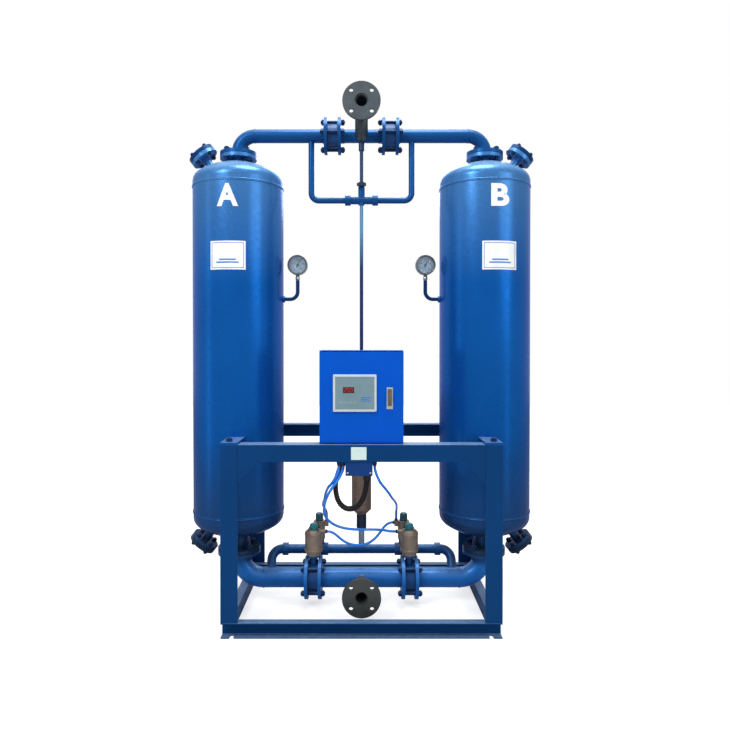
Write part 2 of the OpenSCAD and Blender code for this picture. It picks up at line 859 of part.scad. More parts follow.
module side_bolts() {
    translate([tower_x, 0, top_joint]) around(4, 45, flange_pcd / 2) stud(stud_d, pair_t);
    translate([tower_x, 0, bottom_joint - pair_t]) around(4, 45, inlet_pcd / 2) stud(stud_d, pair_t);
    at_check_face() around(4, 0, flange_pcd / 2) translate([0, 0, -gasket_t - flange_t])
        stud(stud_d, check_len + 2 * gasket_t + 2 * flange_t);
    translate([valve_in - gasket_t - flange_t, 0, inlet_z]) along_x() around(4, 45, inlet_pcd / 2)
        stud(stud_d, valve_len + 2 * gasket_t + 2 * flange_t);
    for (y = [-lug_bolt_y, lug_bolt_y])
        translate([lug_bolt_x, y, beam_top - cap_plate_t]) stud(lug_bolt_d, lug_t + cap_plate_t);
}

module flange_bolts() { color("#2a4f8c") both_sides() side_bolts(); }

// Outlet header

module outlet_pipe() {
    difference() {
        union() {
            translate([tower_x, 0, top_joint + flange_t + gasket_t])
                flange(flange_d, bore_r, flange_t, flange_pcd, flange_hole_d, 45);
            translate([tower_x - pipe_bend, 0, outlet_z - pipe_bend]) in_xz() bend(pipe_bend, pipe_r, bore_r);
            translate([check_out + gasket_t, 0, outlet_z]) along_x() {
                flange(flange_d, bore_r, flange_t, flange_pcd, flange_hole_d, 0);
                ring(pipe_r, bore_r, tower_x - pipe_bend - check_out - gasket_t);
            }
        }
        translate([purge_x, 0, outlet_z - pipe_r - 5]) cylinder(r = purge_bore_r, h = pipe_r);
    }
}

module outlet_pipe_a() { color("#1b4a8c") side(-1) outlet_pipe(); }

module outlet_pipe_b() { color("#1b4a8c") side(1) outlet_pipe(); }

module outlet_centre() {
    half = check_in - gasket_t;
    color("#1b4a8c") translate([0, 0, outlet_z]) difference() {
        union() {
            translate([-half, 0, 0]) along_x() ring(pipe_r, bore_r, 2 * half);
            both_sides() translate([half - flange_t, 0, 0]) along_x()
                flange(flange_d, bore_r, flange_t, flange_pcd, flange_hole_d, 0);
        }
        to_front() cylinder(r = neck_bore_r, h = pipe_r + 5);
        translate([0, 0, -pipe_r - 5]) cylinder(r = pilot_bore_r, h = pipe_r);
    }
}

module outlet_neck() {
    color("#3e4d55") translate([0, 0, outlet_z]) {
        difference() {
            to_front() ring(neck_r, neck_bore_r, neck_out);
            translate([-neck_d, 0, 0]) along_x() cylinder(r = pipe_r, h = 2 * neck_d);
        }
        translate([0, -neck_out, neck_bend]) in_yz() rotate([0, 0, 180]) bend(neck_bend, neck_r, neck_bore_r);
        translate([0, -neck_face, neck_bend]) in_yz() bend(neck_bend, neck_r, neck_bore_r);
    }
}

module slip_flange() {
    difference() {
        flange(flange_d, neck_bore_r, flange_t, flange_pcd, flange_hole_d, 45);
        translate([0, 0, flange_t - pipe_set]) cylinder(r = neck_r + pipe_gap, h = pipe_set + 1);
    }
}

module outlet_flange() {
    color("#3e4d55") translate([0, -neck_face, outlet_port_z]) to_front() {
        ring(neck_r, neck_bore_r, neck_stub + 1);
        translate([0, 0, neck_stub]) slip_flange();
    }
}

// Check valves: local +Z runs with the flow, local +X runs up

module check_body() {
    difference() {
        cylinder(d = check_d, h = check_len);
        translate([0, 0, -1]) cylinder(d = seat_d, h = check_len);
        translate([0, 0, seat_t]) cylinder(d = chamber_d, h = check_len);
        translate([flap_d / 2, 0, flap_axis]) rotate([90, 0, 0])
            cylinder(r = trunnion_r + run_gap, h = chamber_d - 12, center = true);
    }
}

module check_flap() {
    translate([0, 0, seat_t + free_gap]) cylinder(d = flap_d, h = flap_t);
    translate([flap_d / 2, 0, flap_axis]) rotate([90, 0, 0])
        cylinder(r = trunnion_r, h = chamber_d - 16, center = true);
}

module check_body_a() { color("#1b4a8c") side(-1) at_check_face() check_body(); }

module check_body_b() { color("#1b4a8c") side(1) at_check_face() check_body(); }

module check_flap_a() { color("#8d9296") side(-1) at_check_face() check_flap(); }

module check_flap_b() { color("#8d9296") side(1) at_check_face() check_flap(); }

// Purge loop

module purge_leg() {
    difference() {
        translate([purge_x, 0, purge_z + purge_bend]) ring(purge_r, purge_bore_r, purge_drop - purge_bend);
        translate([purge_x - purge_d, 0, outlet_z]) along_x() cylinder(r = pipe_r, h = 2 * purge_d);
    }
    translate([purge_x - purge_bend, 0, purge_z + purge_bend]) in_xz() rotate([0, 0, -90])
        bend(purge_bend, purge_r, purge_bore_r);
    translate([union_out, 0, purge_z]) along_x()
        ring(purge_r, purge_bore_r, purge_x - purge_bend - union_out);
}

module purge_union() {
    translate([union_in, 0, purge_z]) along_x() ring(union_d / 2, purge_bore_r, union_len);
}

module purge_pipes() {
    color("#1b4a8c") both_sides() {
        purge_leg();
        purge_union();
    }
}

module purge_valve() {
    color("#1b4a8c") translate([0, 0, purge_z]) difference() {
        union() {
            translate([-union_in, 0, 0]) along_x() cylinder(d = cross_d, h = 2 * union_in);
            translate([0, 0, -cross_d / 2 - 4]) cylinder(d = cross_d - 6, h = cross_d / 2 + 4);
            cylinder(d = cross_d - 4, h = purge_valve_h);
            translate([0, 0, handle_rise]) to_front() cylinder(d = cross_d - 8, h = cross_d / 2 + 4);
        }
        translate([-union_in - 1, 0, 0]) along_x() cylinder(r = purge_bore_r, h = 2 * union_in + 2);
        translate([0, 0, -cross_d]) cylinder(r = pilot_bore_r, h = cross_d);
        cylinder(r = pilot_bore_r, h = purge_valve_h + 1);
        translate([0, 0, handle_rise]) to_front() cylinder(d = stem_d + 2 * run_gap, h = cross_d);
    }
}

module purge_handle() {
    color("#10254a") translate([0, 0, handle_z]) {
        to_front() translate([0, 0, pilot_r + 1]) cylinder(d = stem_d, h = -handle_y - pilot_r + 1);
        translate([-handle_len / 2, handle_y - handle_t + 2, -handle_t / 2])
            cube([handle_len, handle_t, handle_t]);
    }
}

module pilot_air_pipes() {
    run_back = -pilot_y - pilot_box_d - pilot_bend;
    color("#2f6db5") {
        difference() {
            union() {
                translate([0, 0, outlet_z - pipe_r - nipple_len])
                    ring(nipple_d / 2, pilot_bore_r, nipple_len + 8);
                translate([0, 0, purge_z + purge_valve_h])
                    ring(pilot_r, pilot_bore_r, outlet_z - pipe_r - nipple_len - purge_z - purge_valve_h + 1);
            }
            translate([-nipple_d, 0, outlet_z]) along_x() cylinder(r = pipe_r, h = 2 * nipple_d);
            translate([0, 0, outlet_z]) to_front() cylinder(r = neck_r, h = neck_out);
        }
        translate([0, 0, pilot_turn_z + pilot_bend])
            ring(pilot_r, pilot_bore_r, purge_z - cross_d / 2 - 4 - pilot_turn_z - pilot_bend);
        translate([0, -pilot_bend, pilot_turn_z + pilot_bend]) in_yz() rotate([0, 0, -90])
            bend(pilot_bend, pilot_r, pilot_bore_r);
        translate([0, -pilot_bend, pilot_turn_z]) to_front() ring(pilot_r, pilot_bore_r, run_back);
    }
}

// Gauges

module gauge_pipe() {
    start = tower_x - tower_r - boss_len;
    translate([gauge_x, 0, tapping_z + gauge_bend])
        ring(gauge_pipe_r, gauge_pipe_r - 2.3, stem_foot - tapping_z - gauge_bend);
    translate([gauge_x + gauge_bend, 0, tapping_z + gauge_bend]) in_xz() rotate([0, 0, 180])
        bend(gauge_bend, gauge_pipe_r, gauge_pipe_r - 2.3);
    translate([gauge_x + gauge_bend, 0, tapping_z]) along_x()
        ring(gauge_pipe_r, gauge_pipe_r - 2.3, start - gauge_x - gauge_bend);
}

module gauge_pipes() { color("#1b4a8c") both_sides() gauge_pipe(); }

// Gauge parts: local +Z runs to the front, z = 0 at the middle of the case depth

module at_gauge() { translate([gauge_x, 0, gauge_z]) to_front() children(); }

module gauge_case() {
    difference() {
        union() {
            translate([0, 0, -gauge_depth / 2]) cylinder(d = gauge_d, h = gauge_depth);
            translate([-gauge_stem_w / 2, -gauge_r - gauge_stem_len, -gauge_stem_w / 2])
                cube([gauge_stem_w, gauge_stem_len + 6, gauge_stem_w]);
        }
        translate([0, 0, -gauge_depth / 2 + gauge_wall]) cylinder(r = gauge_r - gauge_wall, h = gauge_depth);
    }
    translate([0, 0, -gauge_depth / 2]) cylinder(d = spindle_d, h = -pointer_y + gauge_depth / 2 + 3);
    translate([0, 0, -gauge_depth / 2]) ring(gauge_r - gauge_wall + 1, gauge_r - gauge_wall - 4,
        -dial_y - dial_t + gauge_depth / 2);
    translate([0, 0, -lens_y - lens_t - 2]) ring(gauge_r - gauge_wall + 1, gauge_r - gauge_wall - 3, 2);
}

module gauge_cases() { color("#454b55") both_sides() at_gauge() gauge_case(); }

module gauge_dials() {
    color("#dfe6ea") both_sides() at_gauge() translate([0, 0, -dial_y - dial_t])
        ring(gauge_r - gauge_wall - 0.2, spindle_d / 2 + 0.5, dial_t);
}

module gauge_lenses() {
    color("#cfe0ea", 0.3) both_sides() at_gauge() translate([0, 0, -lens_y - lens_t])
        cylinder(r = gauge_r - gauge_wall - 0.2, h = lens_t);
}

module pointer() {
    translate([0, 0, -pointer_y]) difference() {
        union() {
            cylinder(r = spindle_d / 2 + 3, h = 1.5);
            rotate([0, 0, 60]) linear_extrude(1.5)
                polygon([[-12, -2], [0, -2], [pointer_len, -0.6], [pointer_len, 0.6], [0, 2], [-12, 2]]);
        }
        translate([0, 0, -1]) cylinder(r = spindle_d / 2 + run_gap, h = 4);
    }
}

module gauge_pointer_a() {
    color("#1a1a1a") translate([-gauge_x, 0, gauge_z]) to_front() pointer();
}

module gauge_pointer_b() { color("#1a1a1a") at_gauge() pointer(); }

// Control box

module hinge_ear() {
    translate([-box_w / 2, hinge_y - barrel_r, 0]) cube([barrel_d, rim_y - hinge_y + barrel_r + 1, ear_t]);
    translate([hinge_x, hinge_y, 0]) cylinder(d = hinge_pin_d, h = ear_t + hinge_pin_len);
}

module control_enclosure() {
    color("#0653cf") {
        translate([-box_w / 2, rim_y, beam_top]) difference() {
            cube([box_w, box_depth, box_h]);
            translate([sheet_t, -1, sheet_t])
                cube([box_w - 2 * sheet_t, box_depth - sheet_t + 1, box_h - 2 * sheet_t]);
        }
        translate([0, 0, beam_top]) hinge_ear();
        translate([0, 0, beam_top + box_h]) mirror([0, 0, 1]) hinge_ear();
    }
}

module control_door() {
    high = door_high - door_low;
    color("#0653cf") translate([0, 0, door_low]) difference() {
        union() {
            translate([-box_w / 2, door_front, 0]) difference() {
                cube([box_w, door_t, high]);
                translate([sheet_t, sheet_t, sheet_t])
                    cube([box_w - 2 * sheet_t, door_t, high - 2 * sheet_t]);
            }
            translate([hinge_x, hinge_y, 0]) cylinder(d = barrel_d, h = high);
        }
        translate([hinge_x, hinge_y, -1]) cylinder(r = hinge_pin_d / 2 + run_gap, h = hinge_pin_len + 2);
        translate([hinge_x, hinge_y, high - hinge_pin_len - 1])
            cylinder(r = hinge_pin_d / 2 + run_gap, h = hinge_pin_len + 2);
        translate([panel_x - panel_w / 2 + panel_lap, door_front - 1,
            beam_top + panel_z - panel_h / 2 + panel_lap - door_low])
            cube([panel_w - 2 * panel_lap, door_t, panel_h - 2 * panel_lap]);
    }
}

module controller() {
    color("#9db0ae") translate([panel_x, door_front, beam_top + panel_z]) {
        translate([-panel_w / 2, -panel_t, -panel_h / 2]) cube([panel_w, panel_t, panel_h]);
        translate([-panel_w / 2 + panel_lap + 0.5, -1, -panel_h / 2 + panel_lap + 0.5])
            cube([panel_w - 2 * panel_lap - 1, panel_depth + 1, panel_h - 2 * panel_lap - 1]);
    }
}

module latch_plate() {
    color("#a9a39b") difference() {
        union() {
            translate([latch_x - latch_w / 2, door_front - latch_t, beam_top + latch_z - latch_h / 2])
                cube([latch_w, latch_t, latch_h]);
            both_lever_cheeks();
        }
        translate([latch_x - latch_w, lever_axis_y, lever_axis_z]) along_x()
            cylinder(r = lever_pin_d / 2 + run_gap, h = 2 * latch_w);
    }
}

module both_lever_cheeks() {
    cheek = (latch_w - lever_w) / 2 - free_gap;
    for (x = [-latch_w / 2, latch_w / 2 - cheek])
        translate([latch_x + x, lever_axis_y - lever_pin_d / 2 - 1.5, lever_axis_z - lever_pin_d / 2 - 1.5])
            cube([cheek, door_front - lever_axis_y + lever_pin_d / 2 + 1, lever_pin_d + 3]);
}

module latch_lever() {
    color("#b9b4ad") {
        translate([latch_x - latch_w / 2, lever_axis_y, lever_axis_z]) along_x()
            cylinder(d = lever_pin_d, h = latch_w);
        translate([latch_x - lever_w / 2, door_front - latch_t - free_gap - lever_t, lever_axis_z])
            cube([lever_w, lever_t, lever_h]);
    }
}

// Pilot valve box under the front beam

module pilot_valve_box() {
    color("#16386e") {
        translate([pilot_left, pilot_y, pilot_low]) cube([pilot_box_w, pilot_box_d, pilot_high - pilot_low]);
        translate([pilot_left - outlet_len, pilot_mid_y - outlet_w / 2, outlet_low])
            cube([outlet_len + 1, outlet_w, outlet_w]);
        translate([pilot_right - 1, pilot_mid_y - outlet_w / 2, outlet_low])
            cube([outlet_w + 1, outlet_w, outlet_w]);
    }
}

// Inlet header

module inlet_pipe() {
    difference() {
        union() {
            translate([tower_x, 0, bottom_joint - pair_t])
                flange(inlet_flange_d, inlet_bore_r, flange_t, inlet_pcd, flange_hole_d, 45);
            translate([tower_x - inlet_bend, 0, inlet_z + inlet_bend]) in_xz() rotate([0, 0, -90])
                bend(inlet_bend, inlet_r, inlet_bore_r);
            translate([valve_out + gasket_t, 0, inlet_z]) along_x() {
                flange(inlet_flange_d, inlet_bore_r, flange_t, inlet_pcd, flange_hole_d, 45);
                ring(inlet_r, inlet_bore_r, tower_x - inlet_bend - valve_out - gasket_t);
            }
        }
        at_exhaust() translate([leg_x, 0, -leg_len]) cylinder(r = exhaust_bore_r, h = leg_len);
    }
}

module inlet_pipe_a() { color("#1b4a8c") side(-1) inlet_pipe(); }

module inlet_pipe_b() { color("#1b4a8c") side(1) inlet_pipe(); }

module inlet_centre() {
    half = valve_in - gasket_t;
    color("#1b4a8c") translate([0, 0, inlet_z]) difference() {
        union() {
            translate([-half, 0, 0]) along_x() cylinder(r = inlet_r, h = 2 * half);
            both_sides() translate([half - flange_t, 0, 0]) along_x()
                flange(inlet_flange_d, inlet_bore_r, flange_t, inlet_pcd, flange_hole_d, 45);
            to_front() cylinder(r = neck_r, h = inlet_weld);
        }
        translate([-half - 1, 0, 0]) along_x() cylinder(r = inlet_bore_r, h = 2 * half + 2);
        to_front() cylinder(r = neck_bore_r, h = inlet_d);
    }
}

module inlet_stub() {
    color("#3a3f3c") translate([0, -inlet_weld, inlet_z]) to_front()
        ring(neck_r, neck_bore_r, inlet_reach - inlet_weld - flange_t);
}

module inlet_flange() {
    color("#3a3f3c") translate([0, flange_t - inlet_reach, inlet_z]) to_front() slip_flange();
}

module inlet_valve_body() {
    translate([valve_x, 0, inlet_z]) difference() {
        union() {
            translate([-valve_len / 2, 0, 0]) along_x() cylinder(d = valve_d, h = valve_len);
            cylinder(d = valve_neck_d, h = valve_neck_h);
            translate([0, 0, valve_neck_h - 9]) cylinder(d = valve_neck_d + 26, h = 9);
        }
        translate([-valve_len, 0, 0]) along_x() cylinder(r = inlet_bore_r, h = 2 * valve_len);
        translate([0, 0, -inlet_r - 12])
            cylinder(r = valve_stem_r + run_gap, h = valve_neck_h + inlet_r + 14);
    }
}

module inlet_valve_bodies() { color("#17407c") both_sides() inlet_valve_body(); }

module inlet_spindle() {
    translate([valve_x, 0, inlet_z]) {
        translate([-disc_t / 2, 0, 0]) along_x() cylinder(r = disc_r, h = disc_t);
        translate([0, 0, -inlet_r - 10]) cylinder(r = valve_stem_r, h = cap_z - inlet_z + inlet_r + 10);
    }
}

module inlet_spindle_a() { color("#8d9296") side(-1) inlet_spindle(); }

module inlet_spindle_b() { color("#8d9296") side(1) inlet_spindle(); }

module inlet_cap() {
    translate([valve_x, 0, cap_z]) {
        cylinder(d = cap_d, h = cap_h - 6);
        translate([0, 0, cap_h - 6]) cylinder(d1 = cap_d, d2 = cap_d - 8, h = 6);
    }
}

module inlet_cap_a() { color("#1f7f88") side(-1) inlet_cap(); }

module inlet_cap_b() { color("#1f7f88") side(1) inlet_cap(); }

module inlet_actuator() {
    difference() {
        union() {
            translate([valve_x, 0, actuator_z]) {
                cylinder(d = actuator_d - 14, h = 14);
                translate([0, 0, 14]) cylinder(d = actuator_d, h = actuator_h - 26);
                translate([0, 0, actuator_h - 12]) cylinder(d1 = actuator_d, d2 = actuator_d - 20, h = 12);
            }
            translate([port_x, 0, port_z]) along_x() cylinder(d = tube_d + 4, h = port_len + 14);
        }
        translate([valve_x, 0, actuator_z - 1]) cylinder(r = valve_stem_r + free_gap, h = actuator_h + 2);
    }
}

module inlet_actuators() { color("#968a7a") both_sides() inlet_actuator(); }

// Exhaust line: local -Z runs down the leg to the inlet header

module at_exhaust() {
    translate([0, exhaust_y, exhaust_z]) rotate([-leg_tilt, 0, 0]) children();
}

module exhaust_leg() {
    at_exhaust() {
        translate([piston_out, 0, 0]) along_x() ring(exhaust_r, exhaust_bore_r, leg_start - piston_out);
        translate([leg_start - collar_len, 0, 0]) along_x() ring(collar_d / 2, exhaust_bore_r, collar_len);
        translate([leg_start, 0, -exhaust_bend]) in_xz() bend(exhaust_bend, exhaust_r, exhaust_bore_r);
        difference() {
            translate([leg_x, 0, -leg_len]) ring(exhaust_r, exhaust_bore_r, leg_len - exhaust_bend);
            translate([leg_x - exhaust_d, 0, -leg_len]) along_x() cylinder(r = inlet_r, h = 2 * exhaust_d);
        }
    }
}

module exhaust_pipes() {
    color("#1b4a8c") {
        both_sides() exhaust_leg();
        translate([0, exhaust_y, exhaust_z]) difference() {
            translate([-piston_in, 0, 0]) along_x() ring(exhaust_r, exhaust_bore_r, 2 * piston_in);
            cylinder(r = riser_d / 2 - 3, h = exhaust_d);
        }
    }
}

module exhaust_valve_body() {
    translate([piston_x, exhaust_y, exhaust_z]) difference() {
        union() {
            translate([-piston_body_len / 2, 0, 0]) along_x()
                cylinder(d = piston_body_d, h = piston_body_len);
            cylinder(d = piston_act_d - 8, h = bonnet_h);
        }
        translate([-piston_body_len, 0, 0]) along_x() cylinder(r = plunger_bore_r, h = 2 * piston_body_len);
        translate([0, 0, -plunger_r - free_gap])
            cylinder(r = plunger_r + free_gap, h = bonnet_h + plunger_r + 2);
    }
}

module exhaust_valve_bodies() { color("#17407c") both_sides() exhaust_valve_body(); }

module exhaust_plunger() {
    translate([piston_x, exhaust_y, exhaust_z]) {
        translate([0, 0, -plunger_r]) cylinder(r = plunger_r, h = 2 * plunger_r);
        cylinder(d = plunger_stem_d, h = bonnet_h + 20);
        translate([0, 0, bonnet_h + 10]) cylinder(r = piston_r - free_gap, h = 10);
    }
}

module exhaust_plunger_a() { color("#8d9296") side(-1) exhaust_plunger(); }

module exhaust_plunger_b() { color("#8d9296") side(1) exhaust_plunger(); }

module exhaust_actuator() {
    translate([piston_x, exhaust_y, piston_act_z]) difference() {
        cylinder(d = piston_act_d, h = piston_act_h);
        translate([0, 0, 6]) cylinder(r = piston_r, h = piston_act_h - 12);
        translate([0, 0, -1]) cylinder(r = plunger_stem_d / 2 + free_gap, h = 20);
    }
    translate([tee_x - tee_w / 2, exhaust_y - tee_w / 2, tee_top - 26]) cube([tee_w + 4, tee_w, 26]);
}

module exhaust_actuators() { color("#a39583") both_sides() exhaust_actuator(); }

module exhaust_caps() {
    color("#1f7f88") both_sides() translate([piston_x, exhaust_y, piston_cap_z]) {
        cylinder(d = cap_d, h = piston_cap_h - 6);
        translate([0, 0, piston_cap_h - 6]) cylinder(d1 = cap_d, d2 = cap_d - 8, h = 6);
    }
}

module muffler() {
    body_z = riser_len + coupling_len + cone_len;
    color("#6d5a4d") difference() {
        translate([0, exhaust_y, exhaust_z + exhaust_r]) difference() {
            union() {
                translate([0, 0, -8]) cylinder(d = riser_d, h = riser_len + 9);
                translate([0, 0, riser_len]) cylinder(d = coupling_d, h = coupling_len);
                translate([0, 0, riser_len + coupling_len])
                    cylinder(d1 = coupling_d - 8, d2 = muffler_d, h = cone_len);
                translate([0, 0, body_z]) cylinder(d = muffler_d, h = muffler_len);
            }
            translate([0, 0, -20]) cylinder(d = riser_d - 6, h = body_z + 20 + muffler_wall);
            translate([0, 0, body_z])
                cylinder(d = muffler_d - 2 * muffler_wall, h = muffler_len - muffler_wall);
        }
        translate([-riser_d, exhaust_y, exhaust_z]) along_x() cylinder(r = exhaust_r, h = 2 * riser_d);
    }
}

// Free tubes

module conduit() { color("#14161a") swept(conduit_route, conduit_d); }

module tube_1() { color("#0a55d0") swept(tube_1_route, tube_d); }

module tube_2() { color("#0a55d0") swept(tube_2_route, tube_d); }

module tube_3() { color("#0a55d0") swept(tube_3_route, tube_d); }

module tube_4() { color("#0a55d0") swept(tube_4_route, tube_d); }

base_rails();
side_rails();
posts();
beams();
tower_a_vessel();
tower_b_vessel();
desiccant_beds();
bed_screens();
port_covers();
gaskets();
flange_bolts();
port_bolts();
outlet_pipe_a();
outlet_pipe_b();
outlet_centre();
outlet_neck();
outlet_flange();
check_body_a();
check_body_b();
check_flap_a();
check_flap_b();
purge_pipes();
purge_valve();
purge_handle();
pilot_air_pipes();
gauge_pipes();
gauge_cases();
gauge_dials();
gauge_lenses();
gauge_pointer_a();
gauge_pointer_b();
control_enclosure();
control_door();
controller();
latch_plate();
latch_lever();
pilot_valve_box();
inlet_pipe_a();
inlet_pipe_b();
inlet_centre();
inlet_stub();
inlet_flange();
inlet_valve_bodies();
inlet_spindle_a();
inlet_spindle_b();
inlet_cap_a();
inlet_cap_b();
inlet_actuators();
exhaust_pipes();
exhaust_valve_bodies();
exhaust_plunger_a();
exhaust_plunger_b();
exhaust_actuators();
exhaust_caps();
muffler();
conduit();
tube_1();
tube_2();
tube_3();
tube_4();
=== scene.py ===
"""Looks of a twin-tower desiccant air dryer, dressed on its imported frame. Lengths are in metres."""

import math

import bmesh
import bpy
from mathutils import Matrix, Vector


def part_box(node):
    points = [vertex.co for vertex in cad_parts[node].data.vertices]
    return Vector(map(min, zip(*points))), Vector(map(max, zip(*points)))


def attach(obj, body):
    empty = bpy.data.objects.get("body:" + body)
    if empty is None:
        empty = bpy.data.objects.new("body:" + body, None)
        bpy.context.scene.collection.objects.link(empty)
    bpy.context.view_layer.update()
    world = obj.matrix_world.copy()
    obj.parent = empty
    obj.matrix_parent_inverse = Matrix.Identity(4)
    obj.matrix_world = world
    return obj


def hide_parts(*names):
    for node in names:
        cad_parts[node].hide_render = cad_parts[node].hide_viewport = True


bl_info = {
    "name": "Desiccant Air Dryer",
    "version": (1, 0, 0),
    "blender": (4, 5, 0),
    "location": "View3D > Sidebar > Dryer",
    "description": "Dresses the frame of a twin-tower air dryer and sets up its studio",
    "category": "Add Mesh",
}

for leftover in ("Cube", "Light", "Camera"):
    if leftover in bpy.data.objects:
        bpy.data.objects.remove(bpy.data.objects[leftover])

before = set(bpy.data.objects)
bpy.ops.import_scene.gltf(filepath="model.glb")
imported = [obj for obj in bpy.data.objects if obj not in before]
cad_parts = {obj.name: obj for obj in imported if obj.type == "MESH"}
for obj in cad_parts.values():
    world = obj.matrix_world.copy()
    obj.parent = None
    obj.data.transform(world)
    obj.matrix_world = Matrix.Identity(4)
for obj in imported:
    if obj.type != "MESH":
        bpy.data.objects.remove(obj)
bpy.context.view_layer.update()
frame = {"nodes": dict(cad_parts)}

FRONT = Vector((0, -1, 0))
RIGHT = Vector((1, 0, 0))

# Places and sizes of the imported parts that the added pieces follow
TOWER_X = 0.560
TOWER_R = 0.203
SHELL_TOP = 1.913
SHELL_BOTTOM = 0.410
SEAM_INSET = 0.027
OUTLET_Z, OUTLET_PIPE_R, OUTLET_BEND = 2.131, 0.03015, 0.076
INLET_Z, INLET_PIPE_R, INLET_BEND = 0.117, 0.04445, 0.114
STUB_R = 0.0285
OUTLET_FACE = (0, -0.167, 2.231)
INLET_FACE = (0, -0.245, INLET_Z)
ACTUATOR_X = 0.219
GAUGE_X = 0.291
BOX_Z = 0.971
DISPLAY = (-0.052, 1.0005)

# The camera's place, and its downward tilt in degrees
EYE = (0, -2.855, 1.188)
EYE_PITCH = 0.6

# Pale dust, and a painted highlight of the sky, on what faces up
DUST_AND_SHEEN = "#9DC0E2"
# A painted sheen down from the shoulders
PAINTED_SHEEN = "#98D2DE"
# Painted shade low down
PAINTED_SHADE = "#26303A"

# Routes in millimetres: three tubes run from the pilot valve box to actuators, and one links two actuators
TUBE_ROUTES = {
    "tube_1": [
        (-92, -319, 700), (-92, -319, 686), (-95, -316, 668), (-104, -306, 644), (-120, -284, 615),
        (-141, -240, 582), (-154, -182, 544), (-162, -125, 508), (-170, -78, 483), (-174, -38, 461),
        (-173, 7, 439), (-168, 47, 418), (-165, 66, 403), (-163, 76, 385), (-163, 80, 365),
        (-163, 80, 355)],
    "tube_2": [
        (54, -319, 700), (54, -319, 686), (57, -316, 668), (65, -306, 644), (79, -284, 613),
        (99, -240, 580), (118, -183, 545), (134, -128, 512), (148, -78, 486), (157, -38, 463),
        (161, 7, 440), (163, 47, 418), (163, 66, 403), (163, 76, 385), (163, 80, 365), (163, 80, 355)],
    "tube_3": [
        (-74, -319, 700), (-74, -319, 686), (-78, -317, 667), (-93, -310, 636), (-122, -290, 592),
        (-145, -255, 545), (-158, -205, 498), (-162, -150, 455), (-151, -108, 414), (-120, -84, 382),
        (-77, -70, 363), (-28, -60, 354), (22, -48, 350), (64, -32, 345), (100, -14, 337), (130, -4, 329),
        (150, 0, 327), (165, 0, 327)],
    "tube_4": [
        (-165, 0, 327), (-154, 0, 327), (-142, 0, 325), (-128, 0, 319), (-113, 1, 308), (-95, 3, 292),
        (-74, 7, 276), (-45, 13, 263), (-12, 20, 257), (20, 28, 260), (48, 38, 271), (70, 49, 287),
        (87, 59, 305), (101, 67, 322), (115, 74, 335), (130, 78, 343), (144, 80, 346), (155, 80, 346)],
}
CONDUIT_ROUTE = [
    (-75, -235, 782), (-75, -235, 760), (-80, -237, 700), (-96, -242, 652), (-107, -250, 610),
    (-106, -259, 566), (-93, -268, 530), (-66, -279, 508), (-33, -290, 510), (-6, -300, 534),
    (12, -308, 572), (20, -314, 614), (22, -319, 643), (22, -319, 655)]


def linear(code):
    """An sRGB hex code as linear red, green and blue with full alpha."""
    parts = [int(code[i:i + 2], 16) / 255 for i in (1, 3, 5)]
    return [c / 12.92 if c <= 0.04045 else ((c + 0.055) / 1.055) ** 2.4 for c in parts] + [1.0]


def tint(name, about, code):
    """A colour that the panel shows."""
    return bpy.props.FloatVectorProperty(name=name, description=about, subtype="COLOR", size=4, min=0, max=1,
                                         default=linear(code))


def measure(name, about, metres):
    """A length that the panel shows."""
    return bpy.props.FloatProperty(name=name, description=about, default=metres, unit="LENGTH")


class DryerColours(bpy.types.PropertyGroup):
    """Colours of the paint and plastic."""

    towers: tint("Towers", "Enamel on the vessels", "#0E529C")
    frame: tint("Frame", "Enamel on the skid", "#103D71")
    pipes: tint("Pipes", "Enamel on the pipework", "#184982")
    box: tint("Control box", "Powder coat on the control box", "#0254C6")
    tubes: tint("Tubes", "Plastic of the free tubes", "#1C86FF")


class DryerSizes(bpy.types.PropertyGroup):
    """Sizes of what is added to the frame."""

    tube: measure("Tube", "Outside diameter of the free tubes", 0.012)
    conduit: measure("Conduit", "Outside diameter over the ridges", 0.024)
    ridge_pitch: measure("Ridge pitch", "Distance from ridge to ridge of the conduit", 0.0075)
    letter: measure("Letter", "Height of the tower letters", 0.0965)
    letter_z: measure("Letter middle", "Height of the letters' middle over the floor", 1.819)
    plate_w: measure("Plate width", "Width of the white tower plates", 0.154)
    plate_h: measure("Plate height", "Height of the white tower plates", 0.122)
    plate_z: measure("Plate middle", "Height of the plates' middle over the floor", 1.563)
    bead: measure("Weld bead", "Width of the seams on the towers", 0.008)
    dial_end: bpy.props.FloatProperty(
        name="Dial end", description="Last number on the gauge dials", default=1.6, min=0.4)
    lens: bpy.props.FloatProperty(
        name="Lens", description="Focal length of the camera", default=30.82, unit="CAMERA")


# Materials

def feed(tree, node, numbered=None, **named):
    """Sets a node's settings, which have small names, then its sockets, by number or capital name: each to a
    value, or linked to a socket or to the first output in use of another node."""
    for name in [n for n in named if n.islower()]:
        setattr(node, name, named.pop(name))
    for name, value in {**(numbered or {}), **named}.items():
        socket = node.inputs[name.replace("_", " ") if isinstance(name, str) else name]
        if isinstance(value, bpy.types.Node):
            value = next(o for o in value.outputs if o.enabled)
        if isinstance(value, bpy.types.NodeSocket):
            tree.links.new(value, socket)
        else:
            socket.default_value = value
    return node


def put(tree, kind, numbered=None, **named):
    """Adds a shader node with its settings and links."""
    return feed(tree, tree.nodes.new("ShaderNode" + kind), numbered, **named)


def blank(name, **sockets):
    """A material with one shader, and the Object coordinates that its patterns read."""
    material = bpy.data.materials.new(name)
    material.use_nodes = True
    tree = material.node_tree
    tree.nodes.clear()
    surface = put(tree, "BsdfPrincipled", **sockets)
    put(tree, "OutputMaterial", Surface=surface)
    place = put(tree, "TexCoord").outputs["Object"]
    return tree, surface, place


def shade_of(colour, factor):
    """The same linear colour, lighter or darker."""
    return [min(1.0, c * factor) for c in colour[:3]] + [1.0]


